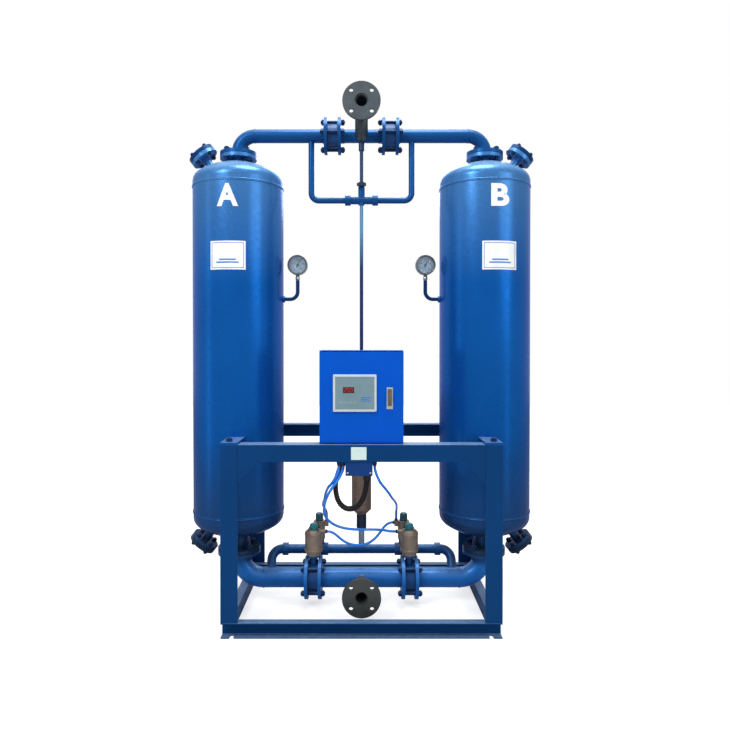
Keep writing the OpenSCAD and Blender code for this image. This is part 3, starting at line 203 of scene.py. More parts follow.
def patchy(tree, surface, place, colour, patch, tones, rough, relief, press, streaks=None):
    """What most finishes share: patches in two shades of the colour, a roughness that varies, a fine relief.

    patch is the patches' size in metres and detail, tones their two shades, rough the range of roughness,
    relief the socket pressed into the surface, press its strength and depth in metres, and streaks a socket
    that the roughness follows instead of the patches."""
    blot = put(tree, "TexNoise", Vector=place, Scale=1 / patch[0], Detail=patch[1])
    tone = put(tree, "Mix", {0: blot, 6: shade_of(colour, tones[0]), 7: shade_of(colour, tones[1])},
               data_type="RGBA")
    gloss = put(tree, "MapRange", Value=streaks or blot, To_Min=rough[0], To_Max=rough[1])
    bump = put(tree, "Bump", Height=relief, Strength=press[0], Distance=press[1])
    feed(tree, surface, Base_Color=tone, Roughness=gloss, Normal=bump)


def sprayed_enamel(name, colour, roughness, gloss, dust, flake=0.0, shade_heights=None, sheen_heights=None):
    """Alkyd enamel sprayed on steel: gives the eye a deep colour, a soft broad shine with orange peel in it,
    cloudy patches where the film is thicker, pale dust with a painted highlight on what faces up, a painted
    sheen down from the shoulder, and painted shade near the lower ports."""
    tree, surface, place = blank(name, Specular_IOR_Level=gloss, Metallic=flake,
                                 Specular_Tint=linear("#5C9BE0"))
    # Orange peel is about 3 mm across, and drawn at 14 mm so that it shows
    peel = put(tree, "TexNoise", Vector=place, Scale=1 / 0.014, Detail=2.0)
    cloud = put(tree, "TexNoise", Vector=place, Scale=1 / 0.30, Detail=5.0)
    grit = put(tree, "TexNoise", Vector=place, Scale=1 / 0.020, Detail=6.0)
    tone = put(tree, "Mix", {0: cloud, 6: shade_of(colour, 0.80), 7: shade_of(colour, 1.18)},
               data_type="RGBA")
    lean = put(tree, "SeparateXYZ", {0: put(tree, "NewGeometry").outputs["Normal"]})
    # What faces up is paled by dust and by a painted highlight of the bright sky above
    up = put(tree, "MapRange", Value=lean.outputs["Z"], From_Min=0.25, From_Max=1.0, To_Max=dust)
    even = put(tree, "MapRange", Value=grit, From_Min=0.3, From_Max=0.7, To_Min=0.38, To_Max=0.62)
    dust_and_sheen = put(tree, "Math", {0: up, 1: even}, operation="MULTIPLY")
    layers = [(dust_and_sheen, DUST_AND_SHEEN)]
    # Painted sheen pales the upper shell and painted shade darkens the lower parts, each between two heights
    for span, most, code in ((sheen_heights, 0.15, PAINTED_SHEEN), (shade_heights, 0.8, PAINTED_SHADE)):
        if span:
            height = put(tree, "SeparateXYZ", {0: place}).outputs["Z"]
            amount = put(tree, "MapRange", Value=height, From_Min=span[0], From_Max=span[1], To_Max=most)
            layers.append((amount, code))
    for amount, code in layers:
        tone = put(tree, "Mix", {0: amount, 6: tone, 7: linear(code)}, data_type="RGBA")
    rough = put(tree, "MapRange", Value=grit, From_Min=0.3, From_Max=0.7, To_Min=roughness - 0.05,
                To_Max=roughness + 0.08)
    bump = put(tree, "Bump", Height=peel, Strength=0.04, Distance=0.002)
    feed(tree, surface, Base_Color=tone, Roughness=rough, Normal=bump)


def cast_enamel(name, colour, roughness):
    """Enamel over sand-cast iron: gives the eye a painted skin with the mould's grain under it."""
    tree, surface, place = blank(name, Specular_IOR_Level=0.22)
    # Sand grain is under 1 mm, and drawn at 5 mm so that it shows
    grain = put(tree, "TexNoise", Vector=place, Scale=1 / 0.005, Detail=4.0)
    patchy(tree, surface, place, colour, (0.06, 3.0), (0.7, 1.25), (roughness - 0.1, roughness + 0.1),
           grain, (0.35, 0.001))


def powder_coat(name, colour, roughness):
    """Polyester powder coat on sheet steel: gives the eye an even strong colour with a fine leathery skin."""
    tree, surface, place = blank(name, Specular_IOR_Level=0.08)
    # The skin's grain is about 1 mm, and drawn at 4 mm so that it shows
    skin = put(tree, "TexNoise", Vector=place, Scale=1 / 0.004, Detail=3.0)
    patchy(tree, surface, place, colour, (0.12, 3.0), (0.9, 1.1), (roughness - 0.06, roughness + 0.06),
           skin, (0.15, 0.0006), skin)


def turned_primer(name, colour, middle):
    """Grey primer over a forged and faced flange: gives the eye a dull dark skin with the lathe's rings."""
    tree, surface, place = blank(name, Metallic=0.15)
    # The serrations are 0.8 mm apart, and drawn 5 mm apart so that they show
    centred = put(tree, "Mapping", Vector=place, Location=[-c for c in middle])
    flat = put(tree, "VectorMath", {0: centred, 1: (1, 0, 1)}, operation="MULTIPLY")
    radius = put(tree, "VectorMath", {0: flat}, operation="LENGTH")
    turns = put(tree, "Math", {0: radius, 1: 2 * math.pi / 0.005}, operation="MULTIPLY")
    groove = put(tree, "Math", {0: turns}, operation="SINE")
    patchy(tree, surface, place, colour, (0.035, 6.0), (0.62, 1.45), (0.36, 0.62), groove, (0.25, 0.0005))


def plated_steel(name, colour, roughness, brush):
    """Plated or brushed steel: gives the eye a grey metal shine, streaked one way and dulled in patches."""
    tree, surface, place = blank(name, Metallic=1.0)
    # Brush lines are 0.3 mm apart, and drawn 2 mm apart so that they show
    drawn = put(tree, "Mapping", Vector=place, Scale=brush)
    lines = put(tree, "TexNoise", Vector=drawn, Scale=1 / 0.002, Detail=3.0)
    patchy(tree, surface, place, colour, (0.025, 4.0), (0.75, 1.2), (roughness - 0.12, roughness + 0.12),
           lines, (0.12, 0.0003), lines)


def blasted_metal(name, colour, metallic, roughness):
    """Die-cast metal, bead blasted: gives the eye a soft sparkle without streaks, darker in worn patches."""
    tree, surface, place = blank(name, Metallic=metallic)
    # Blasting pits are 0.2 mm, and drawn at 3 mm so that they show
    pits = put(tree, "TexVoronoi", Vector=place, Scale=1 / 0.003)
    patchy(tree, surface, place, colour, (0.03, 5.0), (0.6, 1.35), (roughness - 0.1, roughness + 0.12),
           pits, (0.3, 0.0005))


def moulded_plastic(name, colour, roughness, grain_mm, coat):
    """Moulded or extruded plastic: gives the eye an even colour, a fine tool grain and soft marks of use."""
    tree, surface, place = blank(name, Coat_Weight=coat, Coat_Roughness=0.08, Specular_IOR_Level=0.3)
    # Tool grain is under 0.5 mm, and drawn at 2 to 4 mm so that it shows
    grain = put(tree, "TexNoise", Vector=place, Scale=1000 / grain_mm, Detail=3.0)
    patchy(tree, surface, place, colour, (0.05, 4.0), (0.85, 1.15), (roughness - 0.08, roughness + 0.1),
           grain, (0.12, 0.0003))


def sintered_bronze(name, colour, riser, coupling, ends):
    """Bronze powder pressed and fired: gives the eye round tan grains with painted shade in the brown pores
    between them, over the dark painted coupling and the pale galvanised riser that carry it."""
    tree, surface, place = blank(name, Metallic=0.4)
    # Grains are 1 mm, and drawn at 5 mm so that they show
    grain = put(tree, "TexVoronoi", Vector=place, Scale=1 / 0.005)
    soot = put(tree, "TexNoise", Vector=place, Scale=1 / 0.07, Detail=4.0)
    body = put(tree, "Mix", {0: soot, 6: shade_of(colour, 0.55), 7: shade_of(colour, 1.45)},
               data_type="RGBA")
    # The pores between the grains are darkened: painted shade
    pore_shade = put(tree, "MapRange", Value=grain, From_Min=0.35, From_Max=0.8, To_Max=0.5)
    tone = put(tree, "Mix", {0: pore_shade, 6: body, 7: linear("#3A2E28")}, data_type="RGBA")
    height = put(tree, "SeparateXYZ", {0: place}).outputs["Z"]
    for end, below in zip(ends, (coupling, riser)):
        low = put(tree, "Math", {0: height, 1: end}, operation="LESS_THAN")
        tone = put(tree, "Mix", {0: low, 6: tone, 7: below}, data_type="RGBA")
    rough = put(tree, "MapRange", Value=soot, To_Min=0.42, To_Max=0.7)
    bump = put(tree, "Bump", Height=grain, Strength=0.4, Distance=0.001, invert=True)
    feed(tree, surface, Base_Color=tone, Roughness=rough, Normal=bump)


def drawn_air_pipe(name, lower, bared, upper, split):
    """Two lengths of drawn pipe: gives the eye dark paint above the valve, and below it a run that is painted
    near the skid and bared to pale oiled steel under the valve."""
    tree, surface, place = blank(name, Specular_IOR_Level=0.25)
    height = put(tree, "SeparateXYZ", {0: place}).outputs["Z"]
    above = put(tree, "Math", {0: height, 1: split}, operation="GREATER_THAN")
    worn = put(tree, "MapRange", Value=height, From_Min=split - 0.32, From_Max=split - 0.14)
    # Draw marks run along the pipe, 1 mm apart and 80 mm long
    drawn = put(tree, "Mapping", Vector=place, Scale=(1, 1, 1 / 80))
    lines = put(tree, "TexNoise", Vector=drawn, Scale=1 / 0.001, Detail=2.0)
    below = put(tree, "Mix", {0: worn, 6: lower, 7: bared}, data_type="RGBA")
    pair = put(tree, "Mix", {0: above, 6: below, 7: upper}, data_type="RGBA")
    value = put(tree, "MapRange", Value=lines, To_Min=0.8, To_Max=1.2)
    tone = put(tree, "HueSaturation", Color=pair, Value=value)
    rough = put(tree, "MapRange", Value=lines, To_Min=0.28, To_Max=0.5)
    feed(tree, surface, Base_Color=tone, Roughness=rough)


def bead_bed(name, colour):
    """Activated alumina beads: gives the eye chalky white balls with painted shade in the gaps between them.
    """
    tree, surface, place = blank(name, Roughness=0.9)
    # Beads are 5 mm across
    beads = put(tree, "TexVoronoi", Vector=place, Scale=1 / 0.005)
    # The gaps between the beads are darkened: painted shade
    gap_shade = put(tree, "MapRange", Value=beads, From_Min=0.4)
    tone = put(tree, "Mix", {0: gap_shade, 6: colour, 7: shade_of(colour, 0.3)}, data_type="RGBA")
    bump = put(tree, "Bump", Height=beads, Distance=0.002, invert=True)
    feed(tree, surface, Base_Color=tone, Normal=bump)


def clear_glass(name):
    """Float glass: gives the eye a clear window with a sharp reflection and a faint smear of dust."""
    tree, surface, place = blank(name, Transmission_Weight=1.0, IOR=1.5, Base_Color=linear("#F4F8FA"))
    smear = put(tree, "TexNoise", Vector=place, Scale=1 / 0.02, Detail=4.0)
    rough = put(tree, "MapRange", Value=smear, To_Min=0.0, To_Max=0.06)
    feed(tree, surface, Roughness=rough)


def lit_segments(name, colour):
    """Light-emitting segments behind a filter: gives the eye red strokes that glow a little unevenly."""
    tree, surface, place = blank(name, Base_Color=shade_of(colour, 0.5), Roughness=0.4,
                                 Emission_Strength=0.22)
    # Each segment is about 8 mm long, brighter near its lamp
    glow = put(tree, "TexNoise", Vector=place, Scale=1 / 0.008, Detail=1.0)
    tone = put(tree, "Mix", {0: glow, 6: shade_of(colour, 0.7), 7: colour}, data_type="RGBA")
    feed(tree, surface, Emission_Color=tone)


def make_materials(colours):
    """Every finish of the dryer, each named for its material and how it was made."""
    # Colour, roughness, gloss, dust with a painted highlight, flake, heights from and to which painted shade
    # and painted sheen thicken
    for name, colour, *look in (
            # Painted shade darkens the towers low down and the covers over the lower ports, and a painted
            # sheen pales the upper shells
            ("towers", colours.towers, 0.26, 0.12, 0.85, 0.35, (0.80, 0.27), (1.45, 1.95)),
            # The lower seam beads take the tower enamel darker, as painted shade, with no dust
            ("seams", shade_of(colours.towers, 0.75), 0.34, 0.10, 0.0, 0.3),
            ("covers", linear("#122F5E"), 0.32, 0.20, 0.3, 0.0, (0.50, 0.30)),
            ("frame", colours.frame, 0.40, 0.14, 0.6),
            ("pipes", colours.pipes, 0.30, 0.20, 0.5, 0.2),
            # The inlet pipes take the pipe enamel painted lighter, a painted highlight on the low header,
            # with painted shade that thickens upward from 0.175 m to 0.24 m
            ("inlet", shade_of(colours.pipes, 2.1), 0.30, 0.24, 0.5, 0.2, (0.175, 0.24)),
            ("bolts", linear("#16305A"), 0.36, 0.25, 0.30)):
        sprayed_enamel("sprayed_enamel_" + name, colour, *look)
    cast_enamel("cast_iron_enamelled", shade_of(colours.pipes, 1.05), 0.36)
    powder_coat("powder_coat_box", colours.box, 0.34)
    powder_coat("powder_coat_pilot", linear("#173F7C"), 0.40)
    turned_primer("primed_forging_outlet", linear("#2E3A41"), OUTLET_FACE)
    turned_primer("primed_forging_inlet", linear("#3A3D3C"), INLET_FACE)
    plated_steel("black_oxide_steel", linear("#39414D"), 0.42, (1, 1, 0.05))
    plated_steel("zinc_plated_steel", linear("#A9A9A6"), 0.36, (0.05, 1, 1))
    plated_steel("stainless_brushed", linear("#B8BCC0"), 0.30, (1, 1, 0.05))
    blasted_metal("die_cast_bronze_anodised", linear("#8A7C70"), 0.45, 0.46)
    blasted_metal("die_cast_zinc_satin", linear("#C6C4BE"), 0.70, 0.38)
    blasted_metal("die_cast_zinc_browned", linear("#6B625B"), 0.60, 0.42)
    sintered_bronze("sintered_bronze", linear("#806B5E"), linear("#8FA0AC"), linear("#16263F"),
                    (0.384, 0.322))
    moulded_plastic("polyurethane_blue_extruded", colours.tubes, 0.22, 4.0, 0.35)
    # Colour, roughness, grain in millimetres, coat
    for name, code, *look in (
            # The rear caps take a darker teal than the front caps
            ("abs_teal_moulded", "#1F8088", 0.34, 2.0, 0.15), ("abs_teal_soiled", "#185662", 0.42, 2.0, 0.1),
            ("polyamide_black_corrugated", "#060709", 0.46, 2.0, 0.0),
            ("vinyl_black_dipped", "#1C2634", 0.42, 2.5, 0.1),
            ("gasket_fibre_pressed", "#2B2D30", 0.75, 2.0, 0.0),
            ("gauge_case_lacquered", "#515963", 0.30, 3.0, 0.2),
            ("dial_printed_matt", "#B6D6F2", 0.55, 3.0, 0.0), ("pointer_blacked", "#16181C", 0.45, 2.0, 0.0),
            ("vinyl_white_cut", "#EFF3F6", 0.42, 4.0, 0.1), ("vinyl_blue_printed", "#2D6FC4", 0.42, 4.0, 0.1),
            ("paper_label_mint", "#CFE6E2", 0.62, 3.0, 0.0),
            ("panel_polycarbonate_grey", "#748F99", 0.50, 2.0, 0.0),
            ("panel_frame_abs_pale", "#C3D0D9", 0.45, 2.0, 0.0),
            ("filter_acrylic_red", "#3A121C", 0.30, 4.0, 0.0),
            ("keys_silicone_grey", "#7E979F", 0.55, 2.0, 0.0),
            ("terminal_polyamide_grey", "#8F9499", 0.50, 2.0, 0.0),
            ("duct_pvc_pale", "#C9CDCF", 0.50, 2.0, 0.0)):
        moulded_plastic(name, linear(code), *look)
    drawn_air_pipe("steel_pipe_drawn", linear("#0B2458"), linear("#5A8AB4"), linear("#1B3A5E"), 1.85)
    bead_bed("alumina_beads_fired", linear("#E6E2D8"))
    clear_glass("gauge_glass_float")
    lit_segments("segments_lit_red", linear("#FF3A2A"))


NODE_FINISHES = {
    "sprayed_enamel_towers": ["tower_a_vessel", "tower_b_vessel"],
    "sprayed_enamel_covers": ["port_covers", "gauge_pipes"],
    "sprayed_enamel_frame": ["base_rails", "side_rails", "posts", "beams"],
    "sprayed_enamel_pipes": ["outlet_pipe_a", "outlet_pipe_b", "outlet_centre", "purge_pipes", "purge_valve",
                             "exhaust_pipes"],
    "sprayed_enamel_inlet": ["inlet_pipe_a", "inlet_pipe_b", "inlet_centre"],
    "cast_iron_enamelled": ["check_body_a", "check_body_b", "inlet_valve_bodies", "exhaust_valve_bodies"],
    "powder_coat_box": ["control_enclosure", "control_door"],
    "powder_coat_pilot": ["pilot_valve_box"],
    "primed_forging_outlet": ["outlet_neck", "outlet_flange"],
    "primed_forging_inlet": ["inlet_stub", "inlet_flange"],
    "sprayed_enamel_bolts": ["flange_bolts", "port_bolts"],
    "stainless_brushed": ["check_flap_a", "check_flap_b", "bed_screens", "inlet_spindle_a", "inlet_spindle_b",
                          "exhaust_plunger_a", "exhaust_plunger_b"],
    "die_cast_bronze_anodised": ["inlet_actuators", "exhaust_actuators"],
    "die_cast_zinc_satin": ["latch_plate"],
    "die_cast_zinc_browned": ["latch_lever"],
    "sintered_bronze": ["muffler"],
    "abs_teal_moulded": ["inlet_cap_a", "inlet_cap_b"],
    "abs_teal_soiled": ["exhaust_caps"],
    "vinyl_black_dipped": ["purge_handle"],
    "gasket_fibre_pressed": ["gaskets"],
    "gauge_case_lacquered": ["gauge_cases"],
    "dial_printed_matt": ["gauge_dials"],
    "pointer_blacked": ["gauge_pointer_a", "gauge_pointer_b"],
    "gauge_glass_float": ["gauge_lenses"],
    "panel_frame_abs_pale": ["controller"],
    "steel_pipe_drawn": ["pilot_air_pipes"],
    "alumina_beads_fired": ["desiccant_beds"],
    "polyurethane_blue_extruded": ["tube_1", "tube_2", "tube_3", "tube_4"],
    "polyamide_black_corrugated": ["conduit"],
}


# Shapes

def facing(origin, direction):
    """A place whose own +Z runs along the direction."""
    turn = Vector(direction).to_track_quat("Z", "Y").to_matrix().to_4x4()
    return Matrix.Translation(origin) @ turn


def on_front(x, y, z):
    """A place on a face that looks to the front: own X to the right, own Y up, own Z out of the face."""
    return Matrix.Translation((x, y, z)) @ Matrix.Rotation(math.radians(90), 4, "X")


def new_verts(bm, before):
    """The vertices added since a set of them was noted."""
    return [v for v in bm.verts if v not in before]


def rounded(bm, edges, radius, segments):
    """Rounds edges off."""
    bmesh.ops.bevel(bm, geom=edges, offset=radius, segments=segments, profile=0.5, affect="EDGES",
                    clamp_overlap=True, material=-1)


def turned(bm, profile, place, steps=32):
    """Spins a profile of radius and height about the place's own Z."""
    before = set(bm.verts)
    verts = [bm.verts.new((r, 0, h)) for r, h in profile]
    edges = [bm.edges.new(pair) for pair in zip(verts, verts[1:])]
    bmesh.ops.spin(bm, geom=verts + edges, cent=(0, 0, 0), axis=(0, 0, 1), angle=2 * math.pi, steps=steps,
                   use_merge=True)
    bmesh.ops.transform(bm, matrix=place, verts=new_verts(bm, before))


def block(bm, place, size, radius, segments=2):
    """A box with rounded edges, its middle at the place."""
    before = set(bm.verts)
    made = bmesh.ops.create_cube(bm, size=1.0, matrix=Matrix.Diagonal((*size, 1)))
    rounded(bm, list({e for v in made["verts"] for e in v.link_edges}), radius, segments)
    bmesh.ops.transform(bm, matrix=place, verts=new_verts(bm, before))


def hexagon(bm, place, across, height, chamfer):
    """A hexagon nut blank that stands on the place."""
    before = set(bm.verts)
    made = bmesh.ops.create_cone(bm, segments=6, cap_ends=True, radius1=across / math.sqrt(3),
                                 radius2=across / math.sqrt(3), depth=height,
                                 matrix=Matrix.Translation((0, 0, height / 2)))
    rounded(bm, list({e for v in made["verts"] for e in v.link_edges}), chamfer, 2)
    bmesh.ops.transform(bm, matrix=place, verts=new_verts(bm, before))


def lettering(bm, words, height, bold, thickness, place, stretch=1.0):
    """Cut letters of that height, standing out of the place's own XY plane."""
    curve = bpy.data.curves.new("lettering", "FONT")
    curve.body = words
    curve.align_x = "CENTER"
    curve.offset = bold
    curve.resolution_u = 6
    holder = bpy.data.objects.new("lettering", curve)
    bpy.context.scene.collection.objects.link(holder)
    mesh = bpy.data.meshes.new_from_object(holder.evaluated_get(bpy.context.evaluated_depsgraph_get()))
    before = set(bm.verts)
    bm.from_mesh(mesh)
    bpy.data.objects.remove(holder)
    bpy.data.curves.remove(curve)
    bpy.data.meshes.remove(mesh)
    made = new_verts(bm, before)
    bmesh.ops.remove_doubles(bm, verts=made, dist=1e-5)
    made = new_verts(bm, before)
    low, high = min(v.co.y for v in made), max(v.co.y for v in made)
    left, right = min(v.co.x for v in made), max(v.co.x for v in made)
    middle = Matrix.Translation((-(left + right) / 2, -(low + high) / 2, 0))
    scale = height / (high - low)
    bmesh.ops.transform(bm, matrix=Matrix.Diagonal((scale * stretch, scale, scale, 1)) @ middle, verts=made)
    faces = list({f for v in made for f in v.link_faces})
    top = bmesh.ops.extrude_face_region(bm, geom=faces)["geom"]
    raised = [g for g in top if isinstance(g, bmesh.types.BMVert)]
    bmesh.ops.translate(bm, vec=(0, 0, thickness), verts=raised)
    bmesh.ops.transform(bm, matrix=place, verts=new_verts(bm, before))


def wrap_on_tower(bm, tower_x, turn, z, lift):
    """Slices a flat mesh into upright strips and lays it round a tower: own X along, own Y up, own Z out."""
    strip = 0.006
    left, right = min(v.co.x for v in bm.verts), max(v.co.x for v in bm.verts)
    for i in range(1, math.ceil((right - left) / strip)):
        bmesh.ops.bisect_plane(bm, geom=bm.verts[:] + bm.edges[:] + bm.faces[:], dist=1e-6,
                               plane_co=(left + i * strip, 0, 0), plane_no=(1, 0, 0))
    for v in bm.verts:
        angle = turn + v.co.x / TOWER_R
        radius = TOWER_R + lift + v.co.z
        v.co = (tower_x + radius * math.sin(angle), -radius * math.cos(angle), z + v.co.y)


def piece(name, bm, finish, body="dryer", sharp=35):
    """Closes a mesh into a finished piece that rides on a body."""
    bmesh.ops.remove_doubles(bm, verts=bm.verts, dist=1e-6)
    bmesh.ops.recalc_face_normals(bm, faces=bm.faces)
    mesh = bpy.data.meshes.new(name)
    bm.to_mesh(mesh)
    bm.free()
    mesh.materials.append(bpy.data.materials[finish])
    mesh.shade_smooth()
    mesh.set_sharp_from_angle(angle=math.radians(sharp))
    made = bpy.data.objects.new(name, mesh)
    bpy.context.scene.collection.objects.link(made)
    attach(made, body)
    return made


def along(route):
    """Points of a smooth curve, in metres, through a route in millimetres, eight to a stretch."""
    points = [Vector([c / 1000 for c in p]) for p in route]
    ends = [2 * points[0] - points[1]] + points + [2 * points[-1] - points[-2]]
    out = []
    for a, b, c, d in zip(ends, ends[1:], ends[2:], ends[3:]):
        for i in range(8):
            t = i / 8
            out.append(0.5 * (2 * b + (c - a) * t + (2 * a - 5 * b + 4 * c - d) * t ** 2
                              + (3 * b - a - 3 * c + d) * t ** 3))
    return out + [points[-1]]


def run_of(points):
    """The length along a line of points."""
    return sum((b - a).length for a, b in zip(points, points[1:]))


# Operators

class DRYER_OT_stage(bpy.types.Operator):
    """Sets up the floor, the soft lights, the white surround and the camera"""
    bl_idname = "dryer.stage"
    bl_label = "Stage"

    def execute(self, context):
        scene = context.scene
        scene.view_settings.view_transform = "Standard"
        camera = bpy.data.objects.new("camera", bpy.data.cameras.new("camera"))
        camera.data.sensor_width = 36
        camera.data.lens = scene.dryer_sizes.lens
        camera.data.shift_x = 0.0048
        camera.data.shift_y = -0.0205
        camera.location = EYE
        camera.rotation_euler = (math.radians(90 - EYE_PITCH), 0, 0)
        scene.collection.objects.link(camera)
        scene.camera = camera

        world = bpy.data.worlds.new("surround")
        scene.world = world
        world.use_nodes = True
        tree = world.node_tree
        tree.nodes.clear()
        path = put(tree, "LightPath")
        seen = path.outputs["Is Camera Ray"]
        for ray in ("Is Glossy Ray", "Is Transmission Ray"):
            seen = put(tree, "Math", {0: seen, 1: path.outputs[ray]}, operation="MAXIMUM")
        level = put(tree, "MapRange", Value=seen, To_Min=0.42, To_Max=1.0)
        sky = put(tree, "Background", Color=(1, 1, 1, 1), Strength=level)
        put(tree, "OutputWorld", Surface=sky)

        # The tall narrow strips only show as upright streaks in the paint
        for name, shape, spot, aim, size, watts in (
                ("key", "DISK", (-2.2, -3.0, 3.7), 1.15, (1.6, 1.6), 95),
                ("fill", "DISK", (2.9, -2.6, 2.4), 1.15, (2.0, 2.0), 32),
                ("top", "DISK", (0.2, -0.5, 4.4), 1.15, (1.8, 1.8), 112),
                ("back", "DISK", (0.4, 2.6, 3.2), 1.15, (2.0, 2.0), 45),
                ("strip_left", "RECTANGLE", (-2.6, -0.9, 1.2), 1.2, (0.28, 2.6), 5),
                ("strip_right", "RECTANGLE", (2.2, -1.6, 1.2), 1.2, (0.28, 2.6), 5)):
            lamp = bpy.data.lights.new(name, "AREA")
            lamp.shape = shape
            lamp.size, lamp.size_y = size
            lamp.energy = watts
            holder = bpy.data.objects.new(name, lamp)
            holder.location = spot
            holder.rotation_euler = (Vector((0, 0, aim)) - Vector(spot)).to_track_quat("-Z", "Y").to_euler()
            holder.visible_diffuse = shape == "DISK"
            scene.collection.objects.link(holder)

        tree, surface, place = blank("studio_floor_painted", Roughness=0.8, Emission_Color=(1, 1, 1, 1))
        # A painted floor has soft cloudy tones about 0.6 m across
        cloud = put(tree, "TexNoise", Vector=place, Scale=1 / 0.6)
        tone = put(tree, "Mix", {0: cloud, 6: linear("#C9C9C9"), 7: linear("#D4D4D4")}, data_type="RGBA")
        feed(tree, surface, Base_Color=tone)
        path = put(tree, "LightPath")
        # The floor fades to the white of the surround well away from the object
        away = put(tree, "VectorMath", {0: place}, operation="LENGTH")
        fade = put(tree, "MapRange", Value=away, From_Min=1.1, From_Max=2.6, To_Min=0.62, To_Max=1.0)
        glow = put(tree, "Math", {0: path.outputs["Is Camera Ray"], 1: fade}, operation="MULTIPLY")
        feed(tree, surface, Emission_Strength=glow)
        bm = bmesh.new()
        bmesh.ops.create_grid(bm, x_segments=1, y_segments=1, size=9.0)
        mesh = bpy.data.meshes.new("floor")
        bm.to_mesh(mesh)
        bm.free()
        mesh.materials.append(bpy.data.materials["studio_floor_painted"])
        floor = bpy.data.objects.new("floor", mesh)
        scene.collection.objects.link(floor)
        return {"FINISHED"}


class DRYER_OT_finishes(bpy.types.Operator):
    """Gives every part of the frame its material, and breaks the sharp edges of what is cut or folded"""
    bl_idname = "dryer.finishes"
    bl_label = "Finishes"

    def execute(self, context):
        make_materials(context.scene.dryer_colours)
        for finish, nodes in NODE_FINISHES.items():
            for node in nodes:
                mesh = frame["nodes"][node].data
                mesh.materials.clear()
                mesh.materials.append(bpy.data.materials[finish])
        for node, width in (("base_rails", 0.0022), ("side_rails", 0.0022), ("posts", 0.0022),
                            ("beams", 0.0022), ("control_door", 0.0025), ("pilot_valve_box", 0.0020),
                            ("latch_plate", 0.0012), ("latch_lever", 0.0015)):
            part = frame["nodes"][node]
            weld = part.modifiers.new("weld", "WELD")
            weld.merge_threshold = 1e-5
            edge = part.modifiers.new("edge", "BEVEL")
            edge.width = width
            edge.segments = 2
            edge.limit_method = "ANGLE"
            edge.angle_limit = math.radians(40)
            edge.harden_normals = True
        return {"FINISHED"}


class DRYER_OT_tubes(bpy.types.Operator):
    """Lays the free blue tubes on their routes, with a push-in collar at each end"""
    bl_idname = "dryer.tubes"
    bl_label = "Free tubes"

    def execute(self, context):
        width = context.scene.dryer_sizes.tube
        for name, route in TUBE_ROUTES.items():
            points = along(route)
            curve = bpy.data.curves.new(name + "_run", "CURVE")
            curve.dimensions = "3D"
            curve.bevel_depth = width / 2
            curve.bevel_resolution = 4
            curve.use_fill_caps = True
            spline = curve.splines.new("POLY")
            spline.points.add(len(points) - 1)
            for point, place in zip(spline.points, points):
                point.co = (*place, 1)
            spline.use_smooth = True
            curve.materials.append(bpy.data.materials["polyurethane_blue_extruded"])
            run = bpy.data.objects.new(name + "_run", curve)
            context.scene.collection.objects.link(run)
            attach(run, "dryer")
            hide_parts(name)
            bm = bmesh.new()
            for end, inner in ((points[0], points[3]), (points[-1], points[-4])):
                collar = [(width * r, h) for r, h in ((0.51, 0), (0.72, 0), (0.72, 0.004), (0.66, 0.005),
                                                      (0.66, 0.008), (0.60, 0.009), (0.51, 0.009), (0.51, 0))]
                turned(bm, collar, facing(end, inner - end), 24)
            piece(name + "_collars", bm, "vinyl_black_dipped")
        return {"FINISHED"}


class DRYER_OT_conduit(bpy.types.Operator):
    """Lays the black corrugated conduit between the control box and the pilot valve box, with its glands"""
    bl_idname = "dryer.conduit"
    bl_label = "Corrugated conduit"

    def execute(self, context):
        sizes = context.scene.dryer_sizes
        points = along(CONDUIT_ROUTE)
        length = run_of(points)
        ridges = round(length / sizes.ridge_pitch)
        groove, ridge = 0.0021, (0.0, 0.42, 0.54, 0.88)
        outer, inner = sizes.conduit / 2, sizes.conduit / 2 - groove
        bm = bmesh.new()
        rings = []
        spans = [(b - a).length for a, b in zip(points, points[1:])]
        walked, stretch = 0.0, 0
        for k in range(4 * ridges + 1):
            share = (k // 4 + ridge[k % 4]) / ridges
            target = min(share, 1.0) * length
            while stretch < len(spans) - 1 and walked + spans[stretch] < target:
                walked += spans[stretch]
                stretch += 1
            a, b = points[stretch], points[stretch + 1]
            spot = a.lerp(b, min(1.0, (target - walked) / spans[stretch]))
            heading = points[min(stretch + 2, len(points) - 1)] - points[max(stretch - 1, 0)]
            radius = outer if k % 4 in (0, 1) else inner
            across = heading.cross(FRONT).normalized()
            turn = Matrix((across, heading.normalized().cross(across), heading.normalized())).transposed()
            ring = bmesh.ops.create_circle(bm, segments=20, radius=radius,
                                           matrix=Matrix.Translation(spot) @ turn.to_4x4())["verts"]
            rings.append(list({e for v in ring for e in v.link_edges}))
        for one, other in zip(rings, rings[1:]):
            bmesh.ops.bridge_loops(bm, edges=one + other)
        bmesh.ops.holes_fill(bm, edges=rings[0] + rings[-1])
        hose = piece("conduit_run", bm, "polyamide_black_corrugated", sharp=50)
        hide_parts("conduit")
        bm = bmesh.new()
        for end, inner_point in ((points[0], points[4]), (points[-1], points[-5])):
            place = facing(end, inner_point - end)
            hexagon(bm, place, sizes.conduit * 1.45, 0.008, 0.0012)
            sleeve = ((1.02, 0.007), (1.30, 0.007), (1.30, 0.018), (1.12, 0.024), (1.02, 0.024),
                      (1.02, 0.007))
            turned(bm, [(outer * r, h) for r, h in sleeve], place)
        piece("conduit_glands", bm, "polyamide_black_corrugated")
        return {"FINISHED"}


